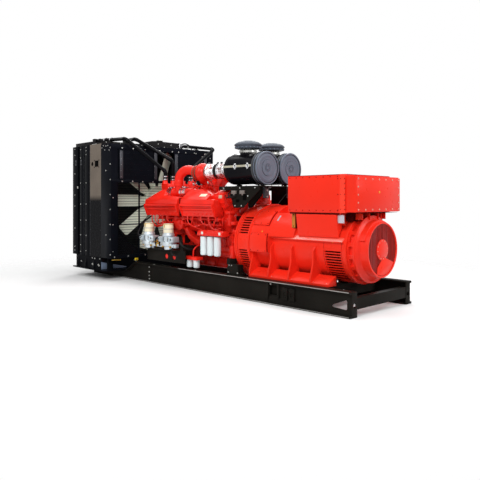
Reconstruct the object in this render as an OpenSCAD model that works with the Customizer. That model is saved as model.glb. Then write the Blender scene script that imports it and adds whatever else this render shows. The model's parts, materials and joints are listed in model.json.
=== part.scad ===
// Open engine generating set on a skid: radiator, V16 engine, alternator.
// Millimetres, +Z up, +X toward the alternator end, +Y away from the filter side.
// Origin at the middle of the skid underside.

/* [Skid] */
// length of each skid rail
skid_l = 5720; // [5000:10:6500]
// width over both rails
skid_w = 1410; // [1100:10:1800]
// height of a rail
rail_h = 300; // [200:5:400]
// width of a rail flange
flange_w = 140; // [90:5:200]
// thickness of a rail flange
flange_t = 18; // [10:1:30]
// thickness of a rail web
web_t = 12; // [8:1:25]
// rail height under the radiator
low_h = 143; // [100:1:250]
// where the rail starts to slope down
slope_top_x = -1515; // [-1700:5:-1300]
// where the slope ends at the low part
slope_foot_x = -1766; // [-1900:5:-1700]
// radius of the lifting hole in each rail end plate
lift_r = 30; // [15:1:50]
// radius of the hold-down holes in the lower flanges
hold_r = 11; // [6:1:20]
// from the middle of the skid to the outer hold-down holes
hold_x = 2400; // [2200:5:2550]

/* [Radiator] */
// width of the radiator over its side panels
rad_w = 2280; // [1800:10:2500]
// underside of the radiator frames
rad_z0 = 381; // [300:1:500]
// top of the radiator frames
rad_z1 = 2330; // [2000:10:2600]
// outer end of the radiator
rad_x0 = -2860; // [-3000:5:-2700]
// engine side of the core frames
core_x1 = -2240; // [-2400:5:-2100]
// plane of the fan ring
ring_x = -1866; // [-2000:1:-1750]
// engine side of the fan guard
guard_x = -1546; // [-1700:1:-1450]
// from the fan ring to the top edge of the shroud
ring_margin = 32; // [20:1:200]
// number of fan blades
blade_n = 10; // [6:1:12]
// width of a fan blade
blade_w = 214; // [150:2:260]
// slant of a fan blade from the plane it turns in
pitch_a = 20; // [10:1:35]
// clearance between blade tip and ring
tip_gap = 20; // [8:1:40]

/* [Engine] */
// height of the crankshaft axis
crank_z = 748; // [650:1:850]
// front end of the cylinder block
block_x0 = -1050; // [-1200:5:-900]
// rear end of the cylinder block
block_x1 = 660; // [500:5:800]
// angle of each bank from upright
bank_a = 30; // [25:0.5:45]
// distance from the crankshaft axis to the head face
deck_d = 560; // [480:1:640]
// number of cylinder heads in a bank
head_n = 8; // [6:1:10]
// height of the turbocharger and air cleaner axis
air_z = 1820; // [1700:5:1950]
// sideways distance of the turbochargers from the middle
air_y = 255; // [240:1:400]

/* [Air cleaners] */
// radius of an air cleaner body
cleaner_r = 228; // [180:1:245]
// blunt front of an air cleaner
cleaner_x0 = 460; // [400:5:560]
// length of an air cleaner
cleaner_l = 718; // [600:2:840]
// radius of a rain cap
cap_r = 203; // [150:1:240]
// position of the rain caps along the set
cap_x = 760; // [600:5:900]

/* [Alternator] */
// radius of the adaptor drum
drum_r = 558; // [500:1:620]
// radius of the alternator barrel
barrel_r = 440; // [400:1:480]
// front of the adaptor drum
drum_x0 = 800; // [700:5:900]
// end of the adaptor drum
drum_x1 = 1090; // [1000:5:1200]
// end of the footed barrel
barrel_x1 = 2437; // [2200:1:2600]
// end of the barrel behind the louvres
louvre_x1 = 2600; // [2500:1:2650]
// outer face of the fan cowl
cowl_x1 = 2860; // [2800:1:2950]
// radius of the fan cowl
cowl_r = 342; // [300:1:400]
// terminal box face over the fan cowl
box_x1 = 2805; // [2700:1:2900]
// terminal box length
box_l = 1051; // [800:1:1300]
// terminal box width
box_w = 990; // [700:5:1200]
// terminal box height
box_h = 470; // [300:5:600]
// underside of the terminal box
box_z = 1205; // [1190:1:1300]

/* [Hidden] */

// seat gap between neighbouring pieces whose faces are curved or sloped
seat = 0.3;
half_l = skid_l / 2;
half_w = skid_w / 2;
half_rad = rad_w / 2;
ring_r = (rad_z1 - rad_z0) / 2 - ring_margin;
ring_wall = 8;
fan_r = ring_r - tip_gap;
fan_z = (rad_z0 + rad_z1) / 2;
fan_x = ring_x + 36;
shaft_r = 45;
shaft_clear = 0.05;
hub_ring_r = 200;
wire_pitch = 44;
tank_z = rad_z1 + 60;
pipe_r = 32;
bend_r = 95;
joint_lip = 2;
pipe_top_z = rad_z1 + 103;
lean = seat + 1.2;
thermo_z = 1640;
neck_z = 1700;
tee_x = -660;
tee_y = -400;
tee_top = 1626;
tube_r = 74;
deck_lift = 108;
valley_z = 1330;
slot_h = 21;
slot_pitch = 34;
steel = [0.1, 0.1, 0.11];
paint = [0.85, 0.15, 0.1];
light = [0.8, 0.82, 0.84];

// a box from its two corners
module span(a, b) {
    translate([a[0], a[1], a[2]]) cube([b[0] - a[0], b[1] - a[1], b[2] - a[2]]);
}

// a straight cylinder along X from xa to xb
module rod_x(xa, xb, y, z, r) {
    translate([xa, y, z]) rotate([0, 90, 0]) cylinder(h = xb - xa, r = r, $fn = 96);
}

// profile given in Y and Z, pushed along X from xa to xb
module along_x(xa, xb) {
    translate([xa, 0, 0]) rotate([90, 0, 90]) linear_extrude(xb - xa) children();
}

// profile given in X and Z, pushed along Y from ya to yb
module along_y(ya, yb) {
    translate([0, yb, 0]) rotate([90, 0, 0]) linear_extrude(yb - ya) children();
}

// one straight pipe between two points
module pipe_leg(a, b, r) {
    d = b - a;
    l = norm(d);
    translate(a) rotate([0, acos(d[2] / l), atan2(d[1], d[0])]) cylinder(h = l, r = r, $fn = 48);
}

// unit vector from a to b
function unit(a, b) = (b - a) / norm(b - a);

// angle between the legs a-b and b-c
function turn_at(a, b, c) = acos(unit(a, b) * unit(b, c));

// length that a bend takes from each leg at point i
function cut_at(p, i) = i <= 0 || i >= len(p) - 1 ? 0 : bend_r * tan(turn_at(p[i - 1], p[i], p[i + 1]) / 2);

// round elbow between the legs a-b and b-c
module elbow(a, b, c, r) {
    u = unit(a, b);
    v = unit(b, c);
    t = turn_at(a, b, c);
    n = (v - u * (u * v)) / sin(t);
    w = cross(-n, u);
    m = b - u * bend_r * tan(t / 2) + n * bend_r;
    multmatrix([[-n[0], u[0], w[0], m[0]], [-n[1], u[1], w[1], m[1]], [-n[2], u[2], w[2], m[2]]])
        rotate_extrude(angle = t, $fn = 96) translate([bend_r, 0]) circle(r = r + joint_lip, $fn = 48);
}

// pipe along a list of points with an elbow at each inner one
module pipe_run(p, r) {
    for (i = [0 : len(p) - 2]) {
        u = unit(p[i], p[i + 1]);
        a = cut_at(p, i);
        b = cut_at(p, i + 1);
        pipe_leg(p[i] + u * (a > 0 ? a - 4 : 0), p[i + 1] - u * (b > 0 ? b - 4 : 0), r);
    }
    if (len(p) > 2) for (i = [1 : len(p) - 2]) elbow(p[i - 1], p[i], p[i + 1], r);
}

// side view of a rail with its sloped step
module rail_side() {
    polygon([[-half_l, 0], [half_l, 0], [half_l, rail_h], [slope_top_x, rail_h],
        [slope_foot_x, low_h], [-half_l, low_h]]);
}

// side view of a rail inside its flanges
module rail_inside() {
    polygon([[-half_l + 12, flange_t], [half_l - 14, flange_t],
        [half_l - 14, rail_h - flange_t], [slope_top_x + 8, rail_h - flange_t],
        [slope_foot_x + 8, low_h - flange_t], [-half_l + 12, low_h - flange_t]]);
}

// see-through cut-out near each end of a web
module web_window() {
    translate([half_l - 290, 0]) polygon([[0, 108], [16, 96], [202, 84], [215, 96], [215, 190], [204, 200],
        [16, 128]]);
}

// one rail standing at negative Y, outer face toward negative Y
module rail() {
    web_y = -half_w + 46;
    difference() {
        along_y(-half_w, -half_w + flange_w) rail_side();
        along_y(-half_w - 1, web_y) rail_inside();
        along_y(web_y + web_t, -half_w + flange_w + 1) rail_inside();
        along_y(-half_w - 1, -half_w + flange_w + 1) web_window();
        span([1582, -half_w - 1, 119], [1739, -half_w + flange_w + 1, 250]);
        span([half_l - 15, -half_w - 1, 28], [half_l + 1, -half_w + 38, 272]);
        translate([half_l - 20, -half_w + 92, 140]) rotate([0, 90, 0])
            cylinder(h = 40, r = lift_r, $fn = 48);
        for (x = [-hold_x, -hold_x / 3, hold_x / 3, hold_x]) {
            translate([x, -half_w + 23, -1]) cylinder(h = flange_t + 2, r = hold_r, $fn = 32);
        }
    }
    for (x = [1558, 1739]) span([x, -half_w + 10, 95], [x + 24, web_y + 1, 274]);
    for (x = [1815, 1932]) difference() {
        span([x, -half_w + 22, 85], [x + 84, web_y + 1, 238]);
        translate([x + 42, -half_w + 30, 160]) rotate([90, 0, 0]) cylinder(h = 20, r = 27, $fn = 48);
    }
}

module skid_rail_near() {
    color(steel) rail();
}

module skid_rail_far() {
    color(steel) mirror([0, 1, 0]) rail();
}

// channel across the alternator end of the skid
module skid_end_member() {
    inner = half_w - flange_w;
    color(steel) difference() {
        span([half_l - 90, -inner, 91], [half_l - 4, inner, 227]);
        span([half_l - 91, -inner - 1, 103], [half_l - 16, inner + 1, 215]);
    }
}

// channel across the skid under the alternator feet
module cross_channel(x0) {
    inner = half_w - flange_w;
    difference() {
        span([x0, -inner, 140], [x0 + 140, inner, rail_h]);
        span([x0 + 12, -inner - 1, 139], [x0 + 128, inner + 1, rail_h - 14]);
    }
}

module skid_cross_front() {
    color(steel) cross_channel(1110);
}

module skid_cross_rear() {
    color(steel) cross_channel(2260);
}

// base plate, base box and the two legs of the radiator
module radiator_base() {
    plate_z = low_h + 21;
    foot_y = half_rad - 128;
    color(steel) {
        span([rad_x0, -half_rad, low_h], [slope_foot_x - 1, half_rad, plate_z]);
        span([rad_x0 + 80, -half_rad + 30, plate_z], [ring_x - 34, half_rad - 30, rad_z0]);
        for (s = [-1, 1]) span([slope_foot_x - 44, s * foot_y - 48, plate_z],
            [slope_foot_x - 4, s * foot_y + 48, rad_z0]);
        for (s = [-1, 1]) for (x = [-2700, -2420, -2140]) {
            along_x(x, x + 16) polygon([[s * (half_rad - 31), plate_z - 1], [s * (half_rad - 2), plate_z - 1],
                [s * (half_rad - 2), plate_z + 60], [s * (half_rad - 31), rad_z0 - 20]]);
        }
    }
}

// finned core between the side frames
module radiator_core() {
    side = half_rad - 130;
    color([0.35, 0.37, 0.36]) difference() {
        span([rad_x0 + 40, -side, rad_z0], [core_x1, side, rad_z1]);
        for (i = [1 : 23]) {
            y = -side + i * side / 12;
            span([rad_x0 + 39, y - 14, rad_z0 + 40], [rad_x0 + 54, y + 14, rad_z1 - 40]);
        }
    }
}

// three flanged uprights at one side of the core
module frame_side() {
    y0 = -half_rad;
    translate([0, 0, rad_z0]) linear_extrude(rad_z1 - rad_z0) polygon([
        [rad_x0, y0], [-2667, y0], [-2667, y0 + 12], [-2700, y0 + 12], [-2700, y0 + 60],
        [-2561, y0 + 60], [-2561, y0 + 12], [-2594, y0 + 12], [-2594, y0],
        [-2449, y0], [-2449, y0 + 12], [-2470, y0 + 12], [-2470, y0 + 60],
        [-2392, y0 + 60], [-2392, y0 + 12], [-2413, y0 + 12], [-2413, y0],
        [core_x1, y0], [core_x1, y0 + 130], [rad_x0 + 40, y0 + 130], [rad_x0, y0 + 130]]);
}

module radiator_frame_near() {
    color(steel) frame_side();
}

module radiator_frame_far() {
    color(steel) mirror([0, 1, 0]) frame_side();
}

// top tank over the core and the header tank beside it
module radiator_top_tank() {
    header_y = 0.53 * half_rad;
    neck_x = rad_x0 + 380;
    color(steel) {
        span([rad_x0 + 80, -half_rad + 20, rad_z1], [core_x1 + 40, half_rad - 20, tank_z]);
        span([core_x1 + 30, -half_rad + 80, rad_z1], [ring_x, -120, tank_z - 12]);
        along_x(core_x1 + 30, ring_x) polygon([[-125, rad_z1], [header_y, rad_z1], [header_y, tank_z + 44],
            [header_y - 40, tank_z + 58], [0, tank_z + 66], [-90, tank_z + 58], [-125, tank_z + 40]]);
        for (s = [-1, 1]) span([neck_x, s * 900 - 50, tank_z - 1],
            [neck_x + 80, s * 900 + 50, pipe_top_z + 34]);
        span([ring_x - 94, -650, tank_z - 13], [ring_x - 14, -550, pipe_top_z + 30]);
        translate([ring_x - 170, 220, tank_z + 50]) cylinder(h = 40, r = 55, $fn = 64);
    }
}

// box between core and fan with the round fan ring
module fan_shroud() {
    wall = 8;
    color(steel) {
        difference() {
            span([core_x1, -half_rad, rad_z0], [ring_x, half_rad, rad_z1]);
            span([core_x1 - 1, -half_rad + wall, rad_z0 + wall],
                [ring_x - wall, half_rad - wall, rad_z1 - wall]);
            rod_x(core_x1 - 2, ring_x + 2, 0, fan_z, ring_r);
        }
        difference() {
            rod_x(ring_x - 120, ring_x + 20, 0, fan_z, ring_r + ring_wall);
            rod_x(ring_x - 121, ring_x + 21, 0, fan_z, ring_r);
        }
    }
}

// guard box on the engine side of the ring
module fan_guard() {
    g0 = ring_x;
    g1 = guard_x;
    low = rad_z0;
    top = rad_z1 - 20;
    post_y = half_rad - 124;
    bar_y = half_rad - 566;
    panel_z = rad_z1 - 628;
    bar_z = fan_z - 408;
    wire_r = 3;
    color(steel) {
        for (s = [-1, 1]) {
            span([g0, s * (half_rad - 4) - 4, low], [g1, s * (half_rad - 4) + 4, top]);
            span([g1 - 12, s * (half_rad - 66) - 66, low], [g1, s * (half_rad - 66) + 66, top]);
            span([g1 - 20, s * post_y - 11, low], [g1, s * post_y + 11, panel_z]);
            span([g1 - 20, s * bar_y - 11, low], [g1, s * bar_y + 11, panel_z]);
            span([g1 - 12, min(s * 190, s * (half_rad - 150)), panel_z],
                [g1 - 4, max(s * 190, s * (half_rad - 150)), top]);
            for (y = [234, half_rad - 200]) span([g1 - 5, s * y - 44, panel_z + 14],
                [g1 + 8, s * y + 44, top - 86]);
        }
        span([g0 + 21, -half_rad, top - 10], [g1, half_rad, top]);
        span([g1 - 16, -half_rad, top - 84], [g1 + 2, half_rad, top]);
        span([g1 - 16, -half_rad, panel_z - 40], [g1 + 2, half_rad, panel_z + 6]);
        span([g1 - 20, -half_rad, low], [g1, half_rad, low + 50]);
        span([g1 - 20, -half_rad + 20, bar_z - 9], [g1, half_rad - 20, bar_z + 9]);
        difference() {
            rod_x(g1 - 20, g1 - 8, 0, fan_z, hub_ring_r);
            rod_x(g1 - 21, g1 - 7, 0, fan_z, hub_ring_r - 14);
        }
        for (z = [low + 80 : wire_pitch : panel_z - 30]) {
            d = abs(z - fan_z);
            y0 = d < hub_ring_r - 10 ? sqrt(pow(hub_ring_r - 7, 2) - d * d) : 0;
            for (s = [-1, 1]) span([g1 - 16, min(s * y0, s * (half_rad - 80)), z - wire_r],
                [g1 - 10, max(s * y0, s * (half_rad - 80)), z + wire_r]);
        }
    }
}

// one fan blade along +Z from the hub, set at its pitch, narrow at its root and ribbed on its back
module blade() {
    w = blade_w / 2;
    rotate([0, 0, pitch_a]) {
        along_x(-7, 7) polygon([[-62, 225], [62, 225], [w, 400], [w, fan_r - 34], [w - 30, fan_r - 8],
            [-w + 30, fan_r - 8], [-w, fan_r - 34], [-w, 400]]);
        along_x(-13, -6) polygon([[-30, 240], [30, 240], [12, fan_r - 120], [-12, fan_r - 120]]);
        along_x(6, 16) polygon([[-44, 230], [44, 230], [30, 330], [-30, 330]]);
    }
}

// fan rotor on its shaft
module cooling_fan() {
    hub_r = 262;
    color([0.55, 0.6, 0.52]) translate([fan_x, 0, fan_z]) difference() {
        union() {
            rotate([0, 90, 0]) translate([0, 0, -50]) cylinder(h = 100, r = hub_r, $fn = 96);
            rotate([0, 90, 0]) translate([0, 0, -70]) cylinder(h = 30, r = 150, $fn = 96);
            for (i = [0 : blade_n - 1]) rotate([90 + i * 360 / blade_n, 0, 0]) blade();
        }
        rod_x(-40, 60, 0, 0, shaft_r + shaft_clear);
        difference() {
            rod_x(20, 60, 0, 0, hub_r - 30);
            rod_x(19, 61, 0, 0, 120);
        }
    }
}

// bearing hub that carries the fan on the front of the engine
module fan_hub() {
    front_x = block_x0 - 90;
    color(steel) {
        rod_x(fan_x - 34, fan_x + 60, 0, fan_z, shaft_r);
        rod_x(fan_x + 58, -1560, 0, fan_z, 72);
        rod_x(-1562, -1420, 0, fan_z, 130);
        rod_x(-1422, front_x, 0, fan_z, 90);
        along_y(-100, 100) polygon([[-1400, fan_z], [front_x, fan_z], [front_x, 1140], [-1210, 1140],
            [-1400, 1250]]);
    }
}

// pipe with wide clamps where it lies along the radiator
module coolant_pipe(pts, clamp_x) {
    pipe_run(pts, pipe_r);
    for (x = clamp_x) {
        t = (x - pts[0][0]) / (pts[1][0] - pts[0][0]);
        p = pts[0] + t * (pts[1] - pts[0]);
        pipe_leg(p, p + 30 * unit(pts[0], pts[1]), pipe_r + 6);
    }
}

module coolant_pipe_near() {
    color(steel) coolant_pipe([[rad_x0 + 460 + lean, -900, pipe_top_z], [-1471, -900, pipe_top_z - 35],
        [-1189, -283, 1860], [-1189, -283, neck_z + seat]], [-2320, -2100]);
}

module coolant_pipe_middle() {
    color(steel) coolant_pipe([[ring_x - 14 + seat, -600, pipe_top_z - 6], [-1625, -600, pipe_top_z - 6],
        [-1203, -109, 2045], [-1203, -109, neck_z + seat]], []);
}

module coolant_pipe_far() {
    color(steel) coolant_pipe([[rad_x0 + 460 + seat, 900, pipe_top_z], [-2130, 900, pipe_top_z],
        [-1227, 890, pipe_top_z - 112], [-1203, 283, 1900], [-1203, 283, neck_z + seat]], []);
}

// corner points of a bank in Y and Z, s is the side
function bank_pt(s, across, up) = [
    s * (up * sin(bank_a) + across * cos(bank_a)),
    crank_z + up * cos(bank_a) - across * sin(bank_a)];

// covers, ribs and joint rail on one side of the block
module block_side(s) {
    pitch = (block_x1 - block_x0 - 60) / head_n;
    for (i = [0 : head_n - 1]) {
        x = block_x0 + 30 + i * pitch;
        along_x(x + 22, x + pitch - 22)
            polygon([[s * 338, 640], [s * 356, 650], [s * 356, 800], [s * 338, 812]]);
        along_x(x + 12, x + pitch - 12) polygon([[s * 330, 862], [s * 392, 884], [s * 430, 1010],
            [s * 452, 1092], [s * 440, 1108], [s * 396, 1108]]);
        along_x(x - 7, x + 7) polygon([[s * 300, 640], [s * 366, 664], [s * 366, 812], [s * 330, 824]]);
    }
}

// stepped case over the gears, with the crankshaft damper
module gear_case() {
    front = block_x0 - 90;
    along_x(front, block_x0) polygon([[-330, 420], [330, 420], [380, 620], [360, 1000],
        [160, 1160], [160, 1440], [-160, 1440], [-160, 1160], [-360, 1000], [-380, 620]]);
    along_x(front - 26, front + 1) polygon([[-250, 470], [250, 470], [300, 640], [280, 960],
        [120, 1120], [-120, 1120], [-280, 960], [-300, 640]]);
    rod_x(front - 96, front - 25, 0, crank_z, 190);
    rod_x(front - 130, front - 95, 0, crank_z, 120);
    for (s = [-1, 1]) rod_x(front - 60, front - 25, s * 205, 900, 70);
}

module cylinder_block() {
    color(paint) {
        along_x(block_x0, block_x1) polygon([[-290, 520 + seat], [290, 520 + seat], [340, 600], [340, 860],
            bank_pt(1, 160, deck_d), bank_pt(1, -160, deck_d), [0, 1240],
            bank_pt(-1, -160, deck_d), bank_pt(-1, 160, deck_d), [-340, 860], [-340, 600]]);
        for (s = [-1, 1]) {
            block_side(s);
            along_x(block_x0 + 10, block_x1 - 10) polygon([[s * 280, 522], [s * 316, 522], [s * 316, 546],
                [s * 300, 600]]);
        }
        span([-340, -62, 1200], [-160, 62, valley_z]);
        gear_case();
    }
}

module oil_pan() {
    color(paint) difference() {
        along_x(-1000, 640) polygon([[-316, 520], [-316, 500], [-290, 494], [-250, 470], [-230, 330],
            [-200, 308], [200, 308], [230, 330], [250, 470], [290, 494], [316, 500], [316, 520]]);
        for (x = [-900 : 250 : 500]) for (s = [-1, 1]) {
            along_x(x, x + 190) polygon([[s * 222, 345], [s * 260, 345], [s * 260, 455], [s * 236, 455]]);
        }
    }
}

// cross housing above the front of the block that takes the coolant pipes
module thermostat_housing() {
    front = block_x0 - 200;
    back = block_x0 - 12;
    color(paint) {
        along_y(-320, 320) polygon([[front + 30, 1530], [back, 1530], [back, thermo_z], [front, thermo_z],
            [front, 1560]]);
        span([block_x0 - 88, -150, 1440], [back, 150, 1531]);
        for (y = [-283, -109, 109, 283]) {
            translate([-1196, y, thermo_z - 4]) cylinder(h = neck_z - thermo_z + 4, r = 44, $fn = 64);
            translate([-1196, y, thermo_z - 4]) cylinder(h = 16, r = 60, $fn = 64);
        }
    }
}

module flywheel_housing() {
    color(paint) difference() {
        union() {
            rod_x(block_x1, drum_x0, 0, crank_z, 452);
            rod_x(block_x1, block_x1 + 26, 0, crank_z, 480);
            rod_x(drum_x0 - 30, drum_x0, 0, crank_z, 520);
            for (a = [-60 : 15 : 240]) translate([0, 0, crank_z]) rotate([a, 0, 0])
                span([block_x1 + 1, 430, -6], [drum_x0 - 1, 474, 6]);
            for (s = [-1, 1]) span([690, s * 480 - 60, 520], [drum_x0 - 40, s * 480 + 60, 700]);
        }
        rod_x(drum_x0 - 20, drum_x0 + 1, 0, crank_z, 300);
    }
}

// one row of heads and rocker covers on a bank, with the tall cover near its rear end
module heads(s) {
    pitch = (block_x1 - 190 - block_x0) / head_n;
    low = deck_d + seat;
    for (i = [0 : head_n - 1]) {
        x = block_x0 + 5 + i * pitch;
        along_x(x, x + pitch - 12) polygon([bank_pt(s, 140, low), bank_pt(s, -140, low),
            bank_pt(s, -140, deck_d + 60), bank_pt(s, -105, deck_d + 66),
            bank_pt(s, -100, deck_d + deck_lift), bank_pt(s, 100, deck_d + deck_lift),
            bank_pt(s, 105, deck_d + 66), bank_pt(s, 140, deck_d + 60)]);
    }
    along_x(block_x0 + 5, block_x1 - 190) polygon([bank_pt(s, 120, low), bank_pt(s, -120, low),
        bank_pt(s, -120, deck_d + 30), bank_pt(s, 120, deck_d + 30)]);
    tall_cover(s);
}

// tall cover over the last heads, with a flange at each end and raised bands
module tall_cover(s) {
    x0 = block_x1 - 356;
    x1 = block_x1 - 130;
    top = deck_d + 290;
    along_x(x0, x1) polygon([bank_pt(s, 148, deck_d + 2), bank_pt(s, -148, deck_d + 2),
        bank_pt(s, -148, top - 34), bank_pt(s, -118, top), bank_pt(s, 96, top),
        bank_pt(s, 128, top - 40), bank_pt(s, 148, deck_d + 150)]);
    for (x = [x0 - 8, x1 - 14]) along_x(x, x + 22) polygon([bank_pt(s, 158, deck_d + 4),
        bank_pt(s, -156, deck_d + 4), bank_pt(s, -156, deck_d + 60), bank_pt(s, 158, deck_d + 60)]);
    for (h = [deck_d + 96, deck_d + 176]) along_x(x0 - 6, x1 + 6) polygon([bank_pt(s, 153, h),
        bank_pt(s, -153, h), bank_pt(s, -153, h + 16), bank_pt(s, 153, h + 16)]);
}

module cylinder_heads_near() {
    color(paint) heads(-1);
}

module cylinder_heads_far() {
    color(paint) heads(1);
}

// one charge-air housing in end view, for the near side
module housing_end() {
    top = deck_d + deck_lift + seat;
    polygon([[-612, 1112], [-620, 1200], [-644, 1212], [-644, 1240], [-654, 1246], [-654, 1262], [-674, 1266],
        [-674, 1292], [-652, 1298], [-640, 1372], [-452, 1528], [-420, 1540], [-340, 1540], [-330, 1530],
        bank_pt(-1, -30, top), bank_pt(-1, 100, top), [-450, 1240], [-450, 1112]]);
}

// the outer part alone, where the tall cover stands beside it
module housing_outer() {
    polygon([[-612, 1112], [-620, 1200], [-644, 1212], [-644, 1240], [-654, 1246], [-654, 1262], [-674, 1266],
        [-674, 1292], [-652, 1298], [-640, 1364], [-560, 1372], bank_pt(-1, 170, deck_d + 190),
        bank_pt(-1, 170, deck_d + 40), [-450, 1112]]);
}

// side outline of a housing that falls from its ridge to both ends
module housing_side(x0, r0, r1, x1, h0, h1) {
    polygon([[x0, 1100], [x1, 1100], [x1, h1], [r1, 1545], [r0, 1545], [x0, h0]]);
}

// both charge-air housings of the near bank with the tee between them
module charge_air() {
    intersection() {
        along_x(-1270, -402) housing_end();
        along_y(-700, -200) polygon([[-1270, 1100], [-402, 1100], [-402, 1404], [-872, 1444],
            [-926, 1550], [-1050, 1550], [-1270, 1372]]);
    }
    intersection() {
        along_x(-322, block_x1 - 370) housing_end();
        along_y(-700, -200) housing_side(-322, -300, -60, block_x1 - 370, 1500, 1432);
    }
    intersection() {
        along_x(block_x1 - 371, 460) housing_outer();
        along_y(-700, -200) polygon([[block_x1 - 371, 1100], [460, 1100], [460, 1356], [430, 1372],
            [block_x1 - 371, 1432]]);
    }
    for (x = [-1262, -414, -314, 438]) along_x(x, x + 12) polygon([[-618, 1106], [-680, 1250], [-680, 1300],
        [-630, 1304], [-612, 1240], [-600, 1106]]);
    rod_x(-900, -290, tee_y, 1490, 66);
    for (x = [-820, -560]) rod_x(x, x + 44, tee_y, 1490, 76);
    translate([tee_x, tee_y, 1490]) cylinder(h = tee_top - 1490, r = 64, $fn = 64);
    translate([tee_x, tee_y, tee_top - 40]) cylinder(h = 40, r = tube_r + 6, $fn = 64);
}

module charge_air_near() {
    color(paint) charge_air();
}

module charge_air_far() {
    color(paint) mirror([0, 1, 0]) charge_air();
}

// turbocharger of the near side: U-bend, scroll, bearing housing, inlet and foot
module turbo() {
    y = -air_y;
    u_r = 172;
    scroll_x = -225;
    axis_z = air_z - 20;
    translate([tee_x, tee_y, tee_top]) {
        cylinder(h = 60, r = tube_r + 4, $fn = 64);
        translate([0, 0, 56]) rotate([0, 0, 25]) translate([u_r, 0, 0]) rotate([90, 0, 0])
            rotate([0, 0, 32]) rotate_extrude(angle = 148, $fn = 96)
            translate([u_r, 0]) circle(r = tube_r, $fn = 64);
    }
    translate([scroll_x, y, axis_z]) rotate([0, 90, 0]) rotate_extrude($fn = 96) translate([88, 0])
        circle(r = 64, $fn = 64);
    rod_x(scroll_x - 120, scroll_x + 50, y, axis_z, 92);
    rod_x(scroll_x - 150, scroll_x - 118, y, axis_z, 122);
    translate([scroll_x + 40, y, axis_z]) rotate([0, 90, 0]) rotate_extrude($fn = 96)
        polygon([[0, 0], [118, 0], [118, 24], [98, 44], [88, 110], [98, 114], [98, 128], [0, 128]]);
    rod_x(scroll_x + 160, scroll_x + 286, y, axis_z + 8, 94);
    rod_x(scroll_x + 280, cleaner_x0 - seat, y, air_z - 4, 104);
    rod_x(scroll_x + 330, scroll_x + 352, y, air_z - 4, 112);
    along_x(scroll_x - 90, scroll_x + 40) polygon([[-58, valley_z], [-4, valley_z], [-4, 1500], [-180, 1800],
        [-255, 1800], [-255, 1660], [-58, 1450]]);
}

module turbocharger_near() {
    color(paint) turbo();
}

module turbocharger_far() {
    color(paint) mirror([0, 1, 0]) turbo();
}

// engine mount on the rail
module mount_block() {
    foot_x = block_x1 + 30;
    span([foot_x, -600, rail_h], [foot_x + 250, -470, rail_h + 24]);
    span([foot_x + 24, -590, rail_h + 20], [foot_x + 220, -482, 440]);
    span([foot_x + 4, -600, 438], [foot_x + 70, -440, 520 - seat]);
    along_y(-596, -580) polygon([[foot_x + 2, rail_h + 20], [foot_x + 246, rail_h + 20], [foot_x + 200, 452],
        [foot_x + 20, 452]]);
}

module engine_mount_near() {
    color(steel) mount_block();
}

module engine_mount_far() {
    color(steel) mirror([0, 1, 0]) mount_block();
}

// filter head with three long spin-on filters
module oil_filters() {
    color(light) {
        along_x(150, 700) polygon([[-698, 838], [-690, 828], [-570, 828], [-560, 838], [-560, 896],
            [-590, 908], [-672, 908], [-698, 880]]);
        span([160, -570, 830], [500, -340, 858]);
        for (i = [0 : 2]) translate([235 + i * 150, -636, 540]) rotate_extrude($fn = 96)
            polygon([[0, 0], [44, 0], [52, 8], [54, 24], [54, 262], [48, 278], [48, 292], [0, 292]]);
        for (x = [206, 560]) translate([x, -640, 900]) cylinder(h = 22, r = 30, $fn = 48);
    }
}

// two short filters low on the block
module bypass_filters() {
    color(light) {
        span([-180, -690, 452], [130, -560, 500]);
        span([-120, -580, 490], [60, -560, 636]);
        span([-120, -580, 604], [60, -340, 636]);
        for (x = [-105, 50]) translate([x, -625, 330]) rotate_extrude($fn = 96)
            polygon([[0, 0], [40, 0], [48, 8], [50, 20], [50, 110], [44, 123], [0, 123]]);
    }
}

// two fuel filters, each on its own stacked housing, with a rail between them
module fuel_filters() {
    color(light) {
        for (x = [-977, -461]) {
            translate([x, -770, 585 + seat]) rotate_extrude($fn = 96) polygon([[0, 0], [58, 0], [66, 10],
                [66, 52], [90, 62], [90, 116], [78, 124], [78, 206], [94, 214], [94, 236], [80, 244],
                [80, 390], [72, 404], [40, 410], [0, 410]]);
            span([x - 176, -832, 706], [x + 186, -704, 790]);
            span([x - 150, -816, 650], [x + 120, -706, 708]);
            for (dx = [-150, 152]) translate([x + dx, -846, 748]) rotate([-90, 0, 0])
                cylinder(h = 40, r = 30, $fn = 48);
            translate([x, -850, 690]) rotate([-90, 0, 0]) cylinder(h = 40, r = 40, $fn = 64);
        }
        span([-1120, -790, 620], [-250, -730, 676]);
        for (x = [-1060, -760, -690, -320]) translate([x, -812, 646]) rotate([-90, 0, 0])
            cylinder(h = 60, r = 22, $fn = 48);
        for (x = [-1040, -880, -560, -380]) translate([x, -762, 585 + seat])
            cylinder(h = 46, r = 16, $fn = 48);
    }
}

// black bracket that carries the fuel filters on the side of the block
module fuel_filter_bracket() {
    color(steel) difference() {
        union() {
            span([-1040, -760, 390], [-60, -742, 585]);
            span([-1040, -800, 573], [-200, -340, 585]);
            span([-1020, -352, 573], [-200, -340, 636]);
            for (x = [-1020, -620, -216]) span([x, -760, 390], [x + 16, -400, 585]);
            along_y(-760, -742) polygon([[-200, 390], [-60, 390], [-96, 560], [-150, 800], [-178, 800],
                [-178, 560]]);
        }
        for (x = [-525, -330]) translate([x, -730, 475]) rotate([90, 0, 0])
            cylinder(h = 40, r = 38, $fn = 48);
    }
}

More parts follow.
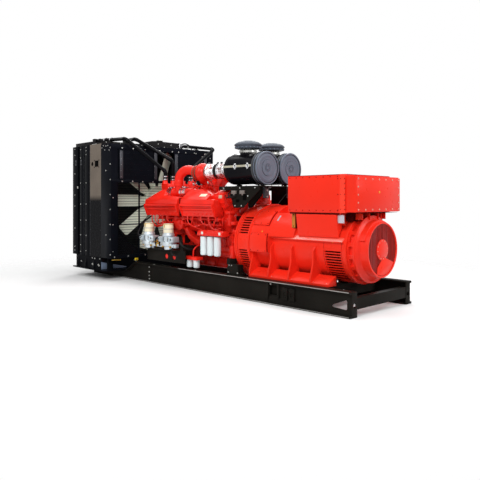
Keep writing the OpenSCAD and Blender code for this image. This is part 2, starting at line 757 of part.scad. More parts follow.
// air cleaner body with blunt front, rimmed end cover, neck and neck clamp
module cleaner() {
    y = -air_y;
    l = cleaner_l;
    r = cleaner_r;
    translate([cleaner_x0, y, air_z]) rotate([0, 90, 0]) rotate_extrude($fn = 128) polygon([
        [0, 0], [122, 0], [122, 10], [r - 34, 14], [r - 14, 22], [r - 4, 36], [r, 56], [r, 92],
        [r + 3, 94], [r + 3, 102], [r, 104], [r, l - 112], [r + 11, l - 106], [r + 11, l - 78],
        [r + 4, l - 74], [r + 4, l - 24], [r + 10, l - 18], [r + 10, l - 6], [r + 4, l], [r - 14, l],
        [r - 20, l - 8], [118, l - 8], [114, l - 2], [62, l - 2], [58, l - 10], [30, l - 10],
        [28, l - 2], [0, l - 2]]);
    translate([cap_x + 25, y, air_z + 190]) cylinder(h = 95, r = 118, $fn = 96);
    translate([cap_x + 25, y, air_z + 240]) cylinder(h = 22, r = 126, $fn = 96);
}

module air_cleaner_near() {
    color(steel) cleaner();
}

module air_cleaner_far() {
    color(steel) mirror([0, 1, 0]) cleaner();
}

// mushroom rain cap on an air cleaner neck
module rain_cap() {
    translate([cap_x + 25, -air_y, air_z + 285 + seat]) rotate_extrude($fn = 128) polygon([
        [0, 0], [150, 0], [186, 14], [186, 40], [cap_r, 58], [cap_r, 72], [170, 100],
        [110, 122], [0, 130]]);
}

module rain_cap_near() {
    color([0.25, 0.27, 0.3]) rain_cap();
}

module rain_cap_far() {
    color([0.25, 0.27, 0.3]) mirror([0, 1, 0]) rain_cap();
}

// frame over the flywheel housing that carries both air cleaners
module air_cleaner_bracket() {
    drum_top = crank_z + sqrt(drum_r * drum_r - 247 * 247) + seat;
    deck_z = 1552;
    post_top = air_z - cleaner_r - seat;
    color(steel) {
        difference() {
            span([400, -480, deck_z], [1180, 480, deck_z + 12]);
            for (x = [960 : 60 : 1140]) for (y = [-420, -300, -180, 180, 300, 420]) {
                span([x, y - 42, deck_z - 2], [x + 24, y + 42, deck_z + 14]);
            }
            for (x = [560 : 130 : 820]) for (s = [-1, 1]) {
                translate([x, s * 400, deck_z - 2]) cylinder(h = 16, r = 24, $fn = 48);
            }
        }
        for (s = [-1, 1]) {
            span([1024, s * air_y - 40, deck_z + 8], [1064, s * air_y + 40, post_top]);
            span([1124, s * air_y - 44, 1390], [1164, s * air_y + 40, deck_z + 1]);
            span([580, s * air_y - 34, deck_z + 8], [630, s * air_y + 34, post_top]);
            along_y(s * air_y - 8, s * air_y + 8) polygon([[790, 1300],
                [802, drum_top], [860, drum_top], [1180, deck_z - 12], [1180, deck_z + 4],
                    [790, deck_z + 4]]);
        }
        for (y = [-474, 474]) along_y(y - 6, y + 6) polygon([[400, deck_z - 40], [640, deck_z - 44],
            [690, 1300], [710, 1252], [900, 1252], [1230, deck_z - 44], [1230, deck_z + 12],
            [400, deck_z + 4]]);
        span([1170, -480, deck_z], [1230, 480, deck_z + 12]);
    }
}

// ventilation slots cut to one depth on both sides of a round body
module slots(xa, xb, r, r_in, z) {
    difference() {
        span([xa, -r - 30, z], [xb, r + 30, z + slot_h]);
        rod_x(xa - 1, xb + 1, 0, crank_z, r_in);
    }
}

// foot, gussets, ledge and box support at one side of the barrel
module frame_side_parts(s) {
    foot_y = 554;
    along_x(drum_x1, barrel_x1) polygon([[s * 380, rail_h], [s * foot_y, rail_h], [s * foot_y, rail_h + 28],
        [s * 430, 400], [s * 380, 420]]);
    for (x = [drum_x1, 1438, 1792, 2152]) along_x(x, x + 24) polygon([[s * 300, rail_h + 20],
        [s * foot_y, rail_h], [s * foot_y, rail_h + 80], [s * 500, 560], [s * 500, 730], [s * 430, 790]]);
    along_x(drum_x1 + 180, louvre_x1 - 10) polygon([[s * 400, 836], [s * 466, 842], [s * 471, 852],
        [s * 424, 900], [s * 400, 904]]);
    along_x(drum_x1 + 680, louvre_x1 - 260)
        polygon([[s * 380, 870], [s * 420, 900], [s * 350, 1030], [s * 300, 1030]]);
    span([1830, s * 250 - 110, 1050], [louvre_x1 - 60, s * 250 + 110, box_z]);
}

// footed barrel with gussets, upper hood and box pedestal
module alternator_frame() {
    hood_x1 = drum_x1 + 250;
    hood_x2 = drum_x1 + 730;
    color(paint) {
        difference() {
            rod_x(drum_x1, louvre_x1, 0, crank_z, barrel_r);
            for (i = [0 : 10]) slots(louvre_x1 - 300, louvre_x1 - 60, barrel_r, barrel_r - 34,
                crank_z - 376 + i * slot_pitch);
        }
        intersection() {
            union() {
                rod_x(drum_x1, hood_x1, 0, crank_z, drum_r - 8);
                translate([hood_x1 - 1, 0, crank_z]) rotate([0, 90, 0])
                    cylinder(h = hood_x2 - hood_x1, r1 = drum_r - 9, r2 = barrel_r + 42, $fn = 128);
            }
            span([drum_x1, -drum_r, 872], [hood_x2 - 2, drum_r, box_z - 21]);
        }
        intersection() {
            rod_x(drum_x1, drum_x1 + 338, 0, crank_z, drum_r - 18);
            span([drum_x1, -drum_r, crank_z - 100], [drum_x1 + 338, drum_r, 1290]);
        }
        rod_x(louvre_x1 - 20, louvre_x1 + 20, 0, crank_z, barrel_r + 8);
        for (s = [-1, 1]) frame_side_parts(s);
        span([1830, -300, 1100], [louvre_x1 - 60, 300, box_z - 20]);
        for (y = [-230, 230]) span([louvre_x1 - 61, y - 12, 1120], [louvre_x1 + 96, y + 12, box_z]);
    }
}

// drum with louvres between engine and alternator
module alternator_adaptor() {
    skin = drum_r - 10;
    color(paint) difference() {
        union() {
            rod_x(drum_x0, drum_x1, 0, crank_z, skin);
            rod_x(drum_x0, drum_x0 + 26, 0, crank_z, drum_r);
            rod_x(drum_x0 + 40, drum_x0 + 54, 0, crank_z, drum_r - 4);
            rod_x(drum_x1 - 26, drum_x1, 0, crank_z, drum_r);
        }
        for (i = [0 : 7]) slots(drum_x0 + 72, drum_x1 - 40, drum_r, skin - 40,
            crank_z - 340 + i * slot_pitch);
        for (i = [0 : 6]) slots(drum_x0 + 72, drum_x1 - 40, drum_r, skin - 40,
            crank_z + 145 + i * slot_pitch);
    }
}

// end ring, fan cowl, mesh disc and round cover
module alternator_cowl() {
    ring_x0 = louvre_x1 + 20;
    ring_x1 = louvre_x1 + 110;
    rim = cowl_r - 20;
    color(paint) {
        difference() {
            rod_x(ring_x0, ring_x1, 0, crank_z, barrel_r - 26);
            for (a = [-42 : 21 : 42]) for (b = [0, 180]) translate([0, 0, crank_z]) rotate([a + b, 0, 0])
                span([ring_x0 + 16, 368, -52], [ring_x1 - 16, 470, 52]);
        }
        rod_x(ring_x1 - 10, ring_x1 + 10, 0, crank_z, barrel_r - 18);
        translate([ring_x1 + 9, 0, crank_z]) rotate([0, 90, 0])
            cylinder(h = 34, r1 = barrel_r - 36, r2 = cowl_r - 1, $fn = 128);
        difference() {
            rod_x(ring_x1, cowl_x1, 0, crank_z, cowl_r);
            rod_x(cowl_x1 - 60, cowl_x1 + 1, 0, crank_z, rim);
        }
        intersection() {
            rod_x(ring_x1, cowl_x1 - 44, 0, crank_z, cowl_r + 24);
            span([ring_x1, -500, 872], [cowl_x1 - 44, 500, 1200]);
        }
        intersection() {
            rod_x(cowl_x1 - 24, cowl_x1 - 12, 0, crank_z, rim + 4);
            for (i = [-14 : 14]) span([cowl_x1 - 24, i * 25 - 5, crank_z - 380],
                [cowl_x1 - 12, i * 25 + 5, crank_z + 380]);
        }
        rod_x(cowl_x1 - 70, cowl_x1 - 6, 0, crank_z, 130);
        rod_x(cowl_x1 - 70, cowl_x1 - 3, 0, crank_z, 90);
    }
}

module terminal_box() {
    x0 = box_x1 - box_l;
    lid_x = box_x1 - 236;
    band_x = box_x1 - 150;
    hw = box_w / 2;
    color(paint) {
        span([x0, -hw, box_z], [band_x + 1, hw, box_z + box_h]);
        span([band_x, -hw + 8, box_z + 10], [box_x1 - 10, hw - 8, box_z + box_h - 22]);
        span([x0 + 14, -hw - 4, box_z + 14], [lid_x, hw + 4, box_z + box_h - 14]);
        span([lid_x + 6, -hw - 12, box_z], [band_x, hw + 12, box_z + box_h]);
        span([box_x1 - 16, -hw, box_z + 14], [box_x1 + 4, hw, box_z + box_h - 34]);
        for (s = [-1, 1]) span([x0 + 40, s * (hw - 20) - 10, box_z - 20],
            [lid_x, s * (hw - 20) + 10, box_z + 1]);
    }
}

// cable box that hangs under the near side of the terminal box
module cable_box() {
    face_y = -box_w / 2 + 4;
    color(paint) {
        along_x(1886, 2515) polygon([[face_y, box_z - 22], [face_y, 1170], [-452, 905], [-452, 900],
            [-424, 900], [-424, 926], [-365, 1030], [-365, box_z - 22]]);
        span([1886, -442, box_z - 24], [2515, -365, box_z - seat]);
    }
}

skid_rail_near();
skid_rail_far();
skid_end_member();
skid_cross_front();
skid_cross_rear();
radiator_base();
radiator_core();
radiator_frame_near();
radiator_frame_far();
radiator_top_tank();
fan_shroud();
fan_guard();
cooling_fan();
fan_hub();
coolant_pipe_near();
coolant_pipe_middle();
coolant_pipe_far();
cylinder_block();
oil_pan();
thermostat_housing();
flywheel_housing();
cylinder_heads_near();
cylinder_heads_far();
charge_air_near();
charge_air_far();
turbocharger_near();
turbocharger_far();
engine_mount_near();
engine_mount_far();
oil_filters();
bypass_filters();
fuel_filters();
fuel_filter_bracket();
air_cleaner_near();
air_cleaner_far();
rain_cap_near();
rain_cap_far();
air_cleaner_bracket();
alternator_frame();
alternator_adaptor();
alternator_cowl();
terminal_box();
cable_box();
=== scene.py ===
import json
import math
from itertools import product
import bpy
from mathutils import Matrix, Vector


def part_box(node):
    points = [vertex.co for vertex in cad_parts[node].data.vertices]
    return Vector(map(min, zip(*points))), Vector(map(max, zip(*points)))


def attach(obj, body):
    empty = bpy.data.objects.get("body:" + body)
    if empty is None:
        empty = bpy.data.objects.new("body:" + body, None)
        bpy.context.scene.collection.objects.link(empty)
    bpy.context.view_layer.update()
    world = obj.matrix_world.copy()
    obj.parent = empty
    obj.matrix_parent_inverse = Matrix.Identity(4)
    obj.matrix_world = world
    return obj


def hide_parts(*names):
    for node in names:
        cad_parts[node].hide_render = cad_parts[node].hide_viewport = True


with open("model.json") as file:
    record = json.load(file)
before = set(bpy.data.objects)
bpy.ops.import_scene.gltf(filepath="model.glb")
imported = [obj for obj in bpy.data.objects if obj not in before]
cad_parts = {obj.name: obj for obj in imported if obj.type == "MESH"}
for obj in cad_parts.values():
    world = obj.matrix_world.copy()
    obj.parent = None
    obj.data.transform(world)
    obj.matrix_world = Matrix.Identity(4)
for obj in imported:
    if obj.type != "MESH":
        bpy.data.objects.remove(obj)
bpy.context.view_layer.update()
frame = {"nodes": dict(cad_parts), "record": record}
SET = "generating_set"

# signs of Y on the near and far side, and the tilt of each cylinder bank
SIDES = (-1, 1)
BANK_TILT = math.radians(30)

# driving places, in metres, in the frame of the solids
CRANK_Z = 0.748
GUARD_X = -1.546
GUARD_SIDE_Z = (0.4475, 0.7057, 0.9555, 1.205, 1.455, 1.705, 1.963, 2.24)
RING_X = -1.866
RAD_Y = 1.14
RAD_LOW, RAD_HIGH = 0.381, 2.33
CLEANER_X, CLEANER_Y = 0.785, 0.255
AIR_Z = 1.82
OIL_Y = -0.636
FUEL_X = (-0.977, -0.461)
FUEL_Y = -0.77
MANIFOLD_Z = 0.5855
MANIFOLD_FACE = -0.832
BLOCK_X = [-0.98 + i * 0.2 for i in range(8)]
DRUM_R = 0.548
SKID_LOW, SKID_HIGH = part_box("skid_rail_near")
BOX_END_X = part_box("terminal_box")[1][0]

# heights of the bolts on each column of the radiator side, by the column's X
COLUMN_BOLTS = {
    -2.776: (2.29, 2.18, 1.84, 1.455, 1.254, 0.852, 0.52, 0.45),
    -2.565: (2.27, 2.12, 1.669, 1.292, 1.005, 0.736, 0.56, 0.44),
    -2.37: (2.297, 2.24, 2.171, 1.669, 1.292, 1.005, 0.736, 0.467),
}


# colour and materials
def srgb(r, g, b):
    def lin(v):
        v /= 255
        return v / 12.92 if v <= 0.04045 else ((v + 0.055) / 1.055) ** 2.4
    return (lin(r), lin(g), lin(b), 1.0)


class Shader:
    """A Principled material whose colour, roughness and relief come from noise."""

    def __init__(self, name):
        self.mat = bpy.data.materials.new(name)
        self.mat.use_nodes = True
        self.tree = self.mat.node_tree
        self.bsdf = self.tree.nodes["Principled BSDF"]
        self.coord = self.tree.nodes.new("ShaderNodeTexCoord").outputs["Object"]

    def node(self, kind, **inputs):
        made = self.tree.nodes.new("ShaderNode" + kind)
        for key, value in inputs.items():
            made.inputs[key.replace("_", " ")].default_value = value
        return made

    def link(self, a, b):
        self.tree.links.new(a, b)

    def noise(self, scale, detail=4.0, rough=0.55):
        made = self.node("TexNoise", Scale=scale, Detail=detail, Roughness=rough)
        self.link(self.coord, made.inputs["Vector"])
        return made.outputs["Fac"]

    def axes(self):
        made = self.node("SeparateXYZ")
        self.link(self.coord, made.inputs[0])
        return made.outputs

    def ramp(self, fac, low, high, a, b):
        made = self.node("ValToRGB")
        for element, place, colour in zip(made.color_ramp.elements, (low, high), (a, b)):
            element.position = place
            element.color = colour
        self.link(fac, made.inputs["Fac"])
        return made.outputs["Color"]

    def mapped(self, out, smooth=False, **inputs):
        made = self.node("MapRange", **inputs)
        if smooth:
            made.interpolation_type = "SMOOTHSTEP"
        self.link(out, made.inputs["Value"])
        return made.outputs["Result"]

    def step(self, out, low, high):
        return self.mapped(out, From_Min=low, From_Max=high)

    def maths(self, operation, *values):
        made = self.node("Math")
        made.operation = operation
        for value, socket in zip(values, made.inputs):
            if isinstance(value, float):
                socket.default_value = value
            else:
                self.link(value, socket)
        return made.outputs["Value"]

    def colour(self, out):
        self.link(out, self.bsdf.inputs["Base Color"])

    def rough(self, fac, low, high):
        self.link(self.mapped(fac, To_Min=low, To_Max=high), self.bsdf.inputs["Roughness"])

    def bump(self, fac, strength, distance):
        made = self.node("Bump", Strength=strength, Distance=distance)
        self.link(fac, made.inputs["Height"])
        self.link(made.outputs["Normal"], self.bsdf.inputs["Normal"])

    def set(self, **inputs):
        for key, value in inputs.items():
            self.bsdf.inputs[key.replace("_", " ")].default_value = value


def shade(rgb, k):
    return srgb(*[max(0, min(255, v * k)) for v in rgb])


def paint(name, rgb, rough=0.35, spread=0.06, relief=0.0006, grain=60, metal=0.0, level=0.5, haze=0.07):
    s = Shader(name)
    broad = s.noise(1.7, 3.0)
    fine = s.noise(grain, 5.0)
    s.colour(s.ramp(broad, 0.3, 0.7, shade(rgb, 1 - spread), shade(rgb, 1 + spread)))
    s.rough(fine, rough - haze, rough + haze)
    s.bump(fine, 0.35, relief)
    s.set(Metallic=metal, Specular_IOR_Level=level)
    return s.mat


def sheet_with_painted_reflection(name, low_rgb, high_rgb, z, side_y):
    """Black sheet paint with a painted reflection: a lighter brown on the outer sides, above one height."""
    s = Shader(name)
    axes = s.axes()
    above = s.step(axes["Z"], z - 0.07, z + 0.03)
    outer = s.maths("ABSOLUTE", axes["Y"])
    both = s.maths("MULTIPLY", above, s.step(outer, side_y - 0.001, side_y + 0.001))
    cloud = s.maths("MULTIPLY", both, s.step(s.noise(1.3, 2.0), -0.6, 0.8))
    s.colour(s.ramp(cloud, 0.0, 1.0, srgb(*low_rgb), srgb(*high_rgb)))
    s.rough(s.noise(30), 0.2, 0.34)
    s.set(Specular_IOR_Level=0.014)
    return s.mat


def crumpled(name, dark_rgb, rgb):
    """Creased foil, coloured with painted highlights on its folds and painted dark patches of reflection and
    shade between them.
    """
    s = Shader(name)
    folds = s.noise(13, 4.0, 0.6)
    s.colour(s.ramp(folds, 0.4, 0.56, srgb(*dark_rgb), srgb(*rgb)))
    s.rough(s.noise(60), 0.16, 0.3)
    s.bump(folds, 0.9, 0.02)
    s.set(Metallic=0.8)
    return s.mat


def cowl_paint(name, rgb, mesh_shade_rgb):
    """Red paint, with painted shade on the mesh that lies inside the round end opening."""
    s = Shader(name)
    x, y, z = s.axes()
    z = s.maths("ADD", z, -CRANK_Z)
    squares = s.maths("ADD", s.maths("MULTIPLY", y, y), s.maths("MULTIPLY", z, z))
    inside = s.step(s.maths("SQRT", squares), 0.3215, 0.3205)
    deep = s.maths("MULTIPLY", s.step(x, 2.833, 2.835), s.step(x, 2.8492, 2.8485))
    # mask of the painted shade: inside the opening, between the two depths of the mesh
    dark = s.maths("MULTIPLY", inside, deep)
    s.colour(s.ramp(dark, 0.0, 1.0, srgb(*rgb), srgb(*mesh_shade_rgb)))
    s.rough(s.noise(40), 0.24, 0.36)
    s.bump(s.noise(60), 0.2, 0.0001)
    s.set(Specular_IOR_Level=0.2)
    return s.mat


M = {
    "skid": paint("skid_black_paint", (30, 28, 25), 0.34, 0.18, 0.0003, 45, level=0.018),
    "radiator": paint("radiator_black_paint", (15, 16, 20), 0.24, 0.16, 0.0002, 30, level=0.011),
    "sheet": paint("guard_black_satin", (15, 17, 23), 0.3, 0.2, 0.0003, 24, level=0.014),
    "strip": paint("guard_strip_satin", (62, 63, 68), 0.35, 0.1, 0.0002, 30, 0.3, level=0.2),
    "pipe": paint("pipe_black_paint", (10, 10, 13), 0.12, 0.1, 0.0002, 40, level=0.06),
    "core": paint("core_fins", (64, 66, 62), 0.5, 0.12, 0.001, 200, 0.5, level=0.3),
    "fan": paint("fan_grey_green", (238, 246, 226), 0.5, 0.03, 0.0003, 25, level=0.2),
    "engine": paint("engine_red_paint", (240, 40, 27), 0.24, 0.10, 0.0005, 30, level=0.2),
    "alternator": paint("alternator_red_paint", (242, 48, 29), 0.28, 0.02, 0.0001, 12,
                        level=0.12, haze=0.02),
    # a darker red, used as painted shade on parts, slots and gaps that lie in shadow
    "shade_red": paint("red_painted_shade", (74, 9, 7), 0.7, 0.1, 0.0003, 50, level=0.03),
    "can": paint("filter_can_white", (222, 234, 236), 0.22, 0.03, 0.0001, 20, level=0.4),
    "cream": paint("filter_can_cream", (246, 236, 206), 0.32, 0.03, 0.0001, 20, level=0.4),
    "cap_white": paint("head_cap_white", (232, 230, 222), 0.4, 0.03, 0.0001, 20, level=0.4),
    "alloy": paint("cast_alloy", (190, 199, 204), 0.34, 0.2, 0.003, 40, 0.5),
    "cleaner": paint("cleaner_black_paint", (17, 16, 20), 0.16, 0.12, 0.0001, 30, level=0.035),
    # a seam band whose pale cream colour is partly a painted reflection
    "seam": paint("cleaner_seam_steel_and_reflection", (186, 180, 160), 0.34, 0.12, 0.0002, 30, 0.6),
    "cover": paint("cover_grey", (102, 111, 126), 0.32, 0.06, 0.0002, 40, level=0.2),
    "cap": paint("rain_cap_grey", (80, 86, 96), 0.36, 0.1, 0.0002, 40, level=0.12),
    "zinc": paint("zinc_plated", (176, 176, 172), 0.3, 0.06, 0.0001, 90, 0.85),
    "dull_bolt": paint("painted_bolt", (84, 84, 86), 0.35, 0.1, 0.0001, 90, 0.5),
    "chrome": paint("bright_clamp", (226, 226, 228), 0.16, 0.03, 0.0001, 60, 1.0),
    "brass": paint("brass_fitting", (200, 160, 70), 0.3, 0.06, 0.0001, 60, 0.9),
    "rubber": paint("black_rubber", (16, 16, 16), 0.6, 0.1, 0.0004, 80, level=0.2),
    "dark": paint("dark_inside", (7, 6, 6), 0.8, 0.12, 0.0002, 20, level=0.02),
    "yellow": paint("yellow_handle", (232, 200, 40), 0.45, 0.05, 0.0002, 30),
    "brown": paint("gland_plate_brown", (196, 116, 14), 0.5, 0.1, 0.0002, 30),
    "orange": paint("orange_plug", (240, 140, 30), 0.5, 0.05, 0.0001, 30),
    "pale_screw": paint("worn_screw", (214, 150, 134), 0.4, 0.1, 0.0001, 60, 0.3),
    "plate": paint("bare_plate", (188, 187, 196), 0.35, 0.06, 0.0001, 60, 0.3),
    "stain_plate": paint("stained_plate", (196, 176, 150), 0.4, 0.1, 0.0001, 30, 0.3),
    "foil": crumpled("crumpled_foil", (128, 66, 58), (240, 240, 242)),
    "line_red": paint("seam_shadow_red", (150, 16, 12), 0.6, 0.1, 0.0002, 50, level=0.05),
    # near-black red, used as painted shade in the gaps between engine parts and behind the cowl mesh
    "gap_shade": paint("engine_gap_painted_shade", (34, 8, 7), 0.8, 0.2, 0.0003, 50, level=0.02),
    # lighter red, a painted highlight on the box joint strip
    "highlight_red": paint("box_strip_painted_highlight_red", (248, 62, 40), 0.26, 0.03, 0.0001, 40, level=0.25),
    # lighter red, a painted highlight on the sloped alternator ledge
    "ledge": paint("ledge_painted_highlight_red", (248, 92, 74), 0.18, 0.05, 0.0001, 30, level=0.6),
    "cowl": cowl_paint("cowl_red_with_painted_mesh_shade", (240, 46, 28), (150, 26, 18)),
    "bare_joint": paint("bare_joint_brown", (118, 62, 44), 0.45, 0.25, 0.0015, 40, 0.4),
    "post": paint("post_grey", (64, 66, 70), 0.4, 0.1, 0.0002, 40, level=0.15),
    "tank": paint("tank_grey_black", (34, 33, 34), 0.35, 0.15, 0.0003, 30, level=0.03),
    # the brown upper sides of the shroud are a painted reflection, not a second paint
    "shroud": sheet_with_painted_reflection("shroud_black_with_painted_reflection", (25, 25, 27), (143, 131, 119), 1.42, 1.134),
    # pale grey, painted highlights along edges that catch light
    "edge_highlight": paint("edge_highlight_grey", (150, 148, 144), 0.3, 0.15, 0.0002, 30, level=0.3),
    # blue-grey, a painted sky reflection on the black radiator base
    "base_plate": paint("base_plate_painted_sky_reflection", (128, 142, 168), 0.3, 0.2, 0.0003, 9, level=0.3),
    # darker red, painted shadows under the housing ledges
    "ledge_shadow": paint("housing_ledge_shadow_red", (184, 24, 17), 0.5, 0.1, 0.0002, 50, level=0.05),
    "sensor": paint("sensor_grey_brown", (122, 112, 106), 0.45, 0.08, 0.0002, 40),
}

SLOT_MATERIAL = {
    "skid_black": "skid", "radiator_black": "radiator", "core_metal": "core", "fan_plastic": "fan",
    "pipe_black": "pipe", "engine_red": "engine", "alternator_red": "alternator",
    "filter_white": "can", "filter_cream": "alloy", "cleaner_black": "cleaner", "cap_grey": "cap",
}
NODE_MATERIAL = {
    "alternator_cowl": "cowl", "fan_shroud": "shroud", "fan_guard": "sheet", "radiator_top_tank": "tank",
}
EDGE = {"skid_black": 0.003, "cleaner_black": 0.002, "fan_plastic": 0.003, "core_metal": 0.001}
DEFAULT_EDGE = 0.004


def smooth_group():
    """Geometry nodes that shade smooth apart from edges sharper than 35 degrees."""
    tree = bpy.data.node_groups.new("smooth_by_angle", "GeometryNodeTree")
    tree.interface.new_socket("Geometry", in_out="INPUT", socket_type="NodeSocketGeometry")
    tree.interface.new_socket("Geometry", in_out="OUTPUT", socket_type="NodeSocketGeometry")
    n = tree.nodes.new
    start, end = n("NodeGroupInput"), n("NodeGroupOutput")
    faces, edges = n("GeometryNodeSetShadeSmooth"), n("GeometryNodeSetShadeSmooth")
    edges.domain = "EDGE"
    angle = n("GeometryNodeInputMeshEdgeAngle")
    small = n("FunctionNodeCompare")
    small.operation = "LESS_THAN"
    small.inputs[1].default_value = math.radians(35)
    links = tree.links
    links.new(start.outputs[0], faces.inputs["Geometry"])
    links.new(faces.outputs[0], edges.inputs["Geometry"])
    links.new(angle.outputs["Unsigned Angle"], small.inputs[0])
    links.new(small.outputs[0], edges.inputs["Shade Smooth"])
    links.new(edges.outputs[0], end.inputs[0])
    return tree


SMOOTH = smooth_group()


def finish_edges(obj, width):
    """Joins split corners, rounds sharp edges and shades the rest smooth."""
    if width:
        weld = obj.modifiers.new("weld", "WELD")
        weld.merge_threshold = 0.00005
        bevel = obj.modifiers.new("rounded_edges", "BEVEL")
        bevel.width = width
        bevel.segments = 2
        bevel.limit_method = "ANGLE"
        bevel.angle_limit = math.radians(38)
        bevel.use_clamp_overlap = True
    obj.modifiers.new("smooth", "NODES").node_group = SMOOTH


def dress_nodes():
    slots = {s["node"]: s["material_slot"] for s in frame["record"]["subparts"]}
    for name, obj in frame["nodes"].items():
        slot = slots[name]
        obj.data.materials.clear()
        obj.data.materials.append(M[NODE_MATERIAL.get(name, SLOT_MATERIAL[slot])])
        if obj.data.has_custom_normals:
            obj.data.attributes.remove(obj.data.attributes["custom_normal"])
        finish_edges(obj, EDGE.get(slot, DEFAULT_EDGE))


# building pieces
def add_object(name, data):
    obj = bpy.data.objects.new(name, data)
    bpy.context.scene.collection.objects.link(obj)
    return obj


REAR = (1, 0, 0)
UP = (0, 0, 1)
NEAR = (0, -1, 0)
BOX_FACES = [(0, 1, 3, 2), (4, 6, 7, 5), (0, 4, 5, 1), (2, 3, 7, 6), (0, 2, 6, 4), (1, 5, 7, 3)]
BAGS = []


def turns(n, start=0.0):
    """Angles of n equal steps round a circle."""
    return [math.tau * i / n + start for i in range(n)]


def grid(*axes):
    """Every point whose X, Y and Z are among the given values."""
    return list(product(*[a if isinstance(a, (tuple, list)) else (a,) for a in axes]))


def both(places):
    """Points given for one side, on both sides."""
    return [(x, s * y, z) for s in SIDES for x, y, z in places]


def placer(at, axis):
    """A function that places a radius, a turn and a height about an axis."""
    at, facing = Vector(at), Vector(axis).to_track_quat("Z", "Y").to_matrix()
    return lambda r, t, h: at + facing @ Vector((r * math.cos(t), r * math.sin(t), h))


class Bag:
    """Collects the simple solids of one piece, which make() joins to an object."""

    def __init__(self, name, material, edge=0.0):
        self.name = name
        self.material = material
        self.edge = edge
        self.verts = []
        self.faces = []
        BAGS.append(self)

    def add(self, verts, faces):
        k = len(self.verts)
        self.verts += [tuple(v) for v in verts]
        self.faces += [tuple(i + k for i in f) for f in faces]

    def sweep(self, verts, n):
        """Rows of n points each, joined to one another and capped at both ends."""
        last = len(verts) - n
        self.add(verts, [(i + j, i + (j + 1) % n, i + n + (j + 1) % n, i + n + j)
                         for i in range(0, last, n) for j in range(n)]
                 + [tuple(reversed(range(n))), tuple(range(last, last + n))])

    def box(self, a, b, turn=None):
        """A box between two corners, whose Y may come in either order."""
        v = [Vector((x, y, z)) for x in (a[0], b[0]) for y in sorted((a[1], b[1])) for z in (a[2], b[2])]
        self.add([turn @ p for p in v] if turn else v, BOX_FACES)

    def lathe(self, profile, at, axis, n=32):
        """profile is (radius, height) pairs; the body stands at a point along an axis."""
        spot = placer(at, axis)
        self.sweep([spot(r, t, h) for r, h in profile for t in turns(n)], n)

    def disc(self, r, h, at, axis, n):
        self.lathe([(r, 0), (r, h)], at, axis, n)

    def rod(self, a, b, r, n):
        self.disc(r, (Vector(b) - Vector(a)).length, a, Vector(b) - Vector(a), n)

    def ring(self, at, axis, r_in, r_out, h, n=64):
        """A flat ring with a hole."""
        spot = placer(at, axis)
        section = ((r_in, 0), (r_out, 0), (r_out, h), (r_in, h))
        faces = []
        for i in range(n):
            here, there = 4 * i, 4 * ((i + 1) % n)
            faces += [(here + j, there + j, there + (j + 1) % 4, here + (j + 1) % 4) for j in range(4)]
        self.add([spot(r, t, z) for t in turns(n) for r, z in section], faces)

    def bolt(self, at, axis, r=0.012, h=0.009, washer=True):
        axis = Vector(axis).normalized()
        if washer:
            self.disc(r * 1.35, h * 0.22, at, axis, 16)
        self.lathe([(r, 0), (r, h), (r * 0.82, h * 1.15)], at, axis, 6)

    def bolts(self, places, axis, *size):
        for at in places:
            self.bolt(at, axis, *size)

    def side_bolts(self, y, places, *size):
        """Bolts on the outer faces of both sides, at pairs of X and Z."""
        for s, (x, z) in product(SIDES, places):
            self.bolt((x, s * y, z), (0, s, 0), *size)

    def side_box(self, x0, x1, y0, y1, z0, z1):
        """The same box on both sides."""
        for s in SIDES:
            self.box((x0, s * y0, z0), (x1, s * y1, z1))

    def tube(self, path, r, n):
        """A round tube along points, mitred at the bends."""
        pts = [Vector(p) for p in path]
        side = None
        verts = []
        for before, p, after in zip(pts[:1] + pts, pts, pts[1:] + pts[-1:]):
            d = (after - before).normalized()
            if side is None:
                side = d.orthogonal().normalized()
            side = (side - d * side.dot(d)).normalized()
            other = d.cross(side)
            verts += [p + (side * math.cos(t) + other * math.sin(t)) * r for t in turns(n)]
        self.sweep(verts, n)

    def hose(self, points, bend, r, n):
        """A round tube whose corners are rounded bends."""
        self.tube(bend_path(points, bend), r, n)

    def make(self):
        mesh = bpy.data.meshes.new(self.name)
        mesh.from_pydata(self.verts, [], self.faces)
        mesh.validate()
        obj = add_object(self.name, mesh)
        mesh.materials.append(M[self.material])
        finish_edges(obj, self.edge)
        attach(obj, SET)
        return obj


def bend_path(points, radius, steps=8):
    """Points with each inner corner replaced by a rounded bend."""
    pts = [Vector(p) for p in points]
    out = [pts[0]]
    for a, b, c in zip(pts, pts[1:], pts[2:]):
        u, v = (a - b), (c - b)
        cut = min(radius, u.length * 0.48, v.length * 0.48)
        p, q = b + u.normalized() * cut, b + v.normalized() * cut
        for i in range(steps + 1):
            t = i / steps
            out.append(p * (1 - t) ** 2 + b * 2 * t * (1 - t) + q * t * t)
    out.append(pts[-1])
    return out


def bank_axes(s):
    """The axis of one cylinder bank, and the direction across it."""
    high, wide = math.cos(BANK_TILT), math.sin(BANK_TILT)
    return Vector((0, s * wide, high)), Vector((0, s * high, -wide))


def bank_point(s, x, o, c):
    """A point at distance o along a bank's axis and c across it."""
    out, across = bank_axes(s)
    return Vector((x, 0, CRANK_Z)) + out * o + across * c


def bank_grid(s, *spans):
    """A grid of points in the tilted frame of one bank."""
    return [bank_point(s, *p) for p in grid(*spans)]


def bank_boxes(bag, *spans):
    """Boxes in the tilted frame of each bank: spans along X, outward and across."""
    for s, (x0, x1, o0, o1, c0, c1) in product(SIDES, spans):
        bag.add([bank_point(s, x, o, c) for x in (x0, x1) for c in (c0, c1) for o in (o0, o1)], BOX_FACES)


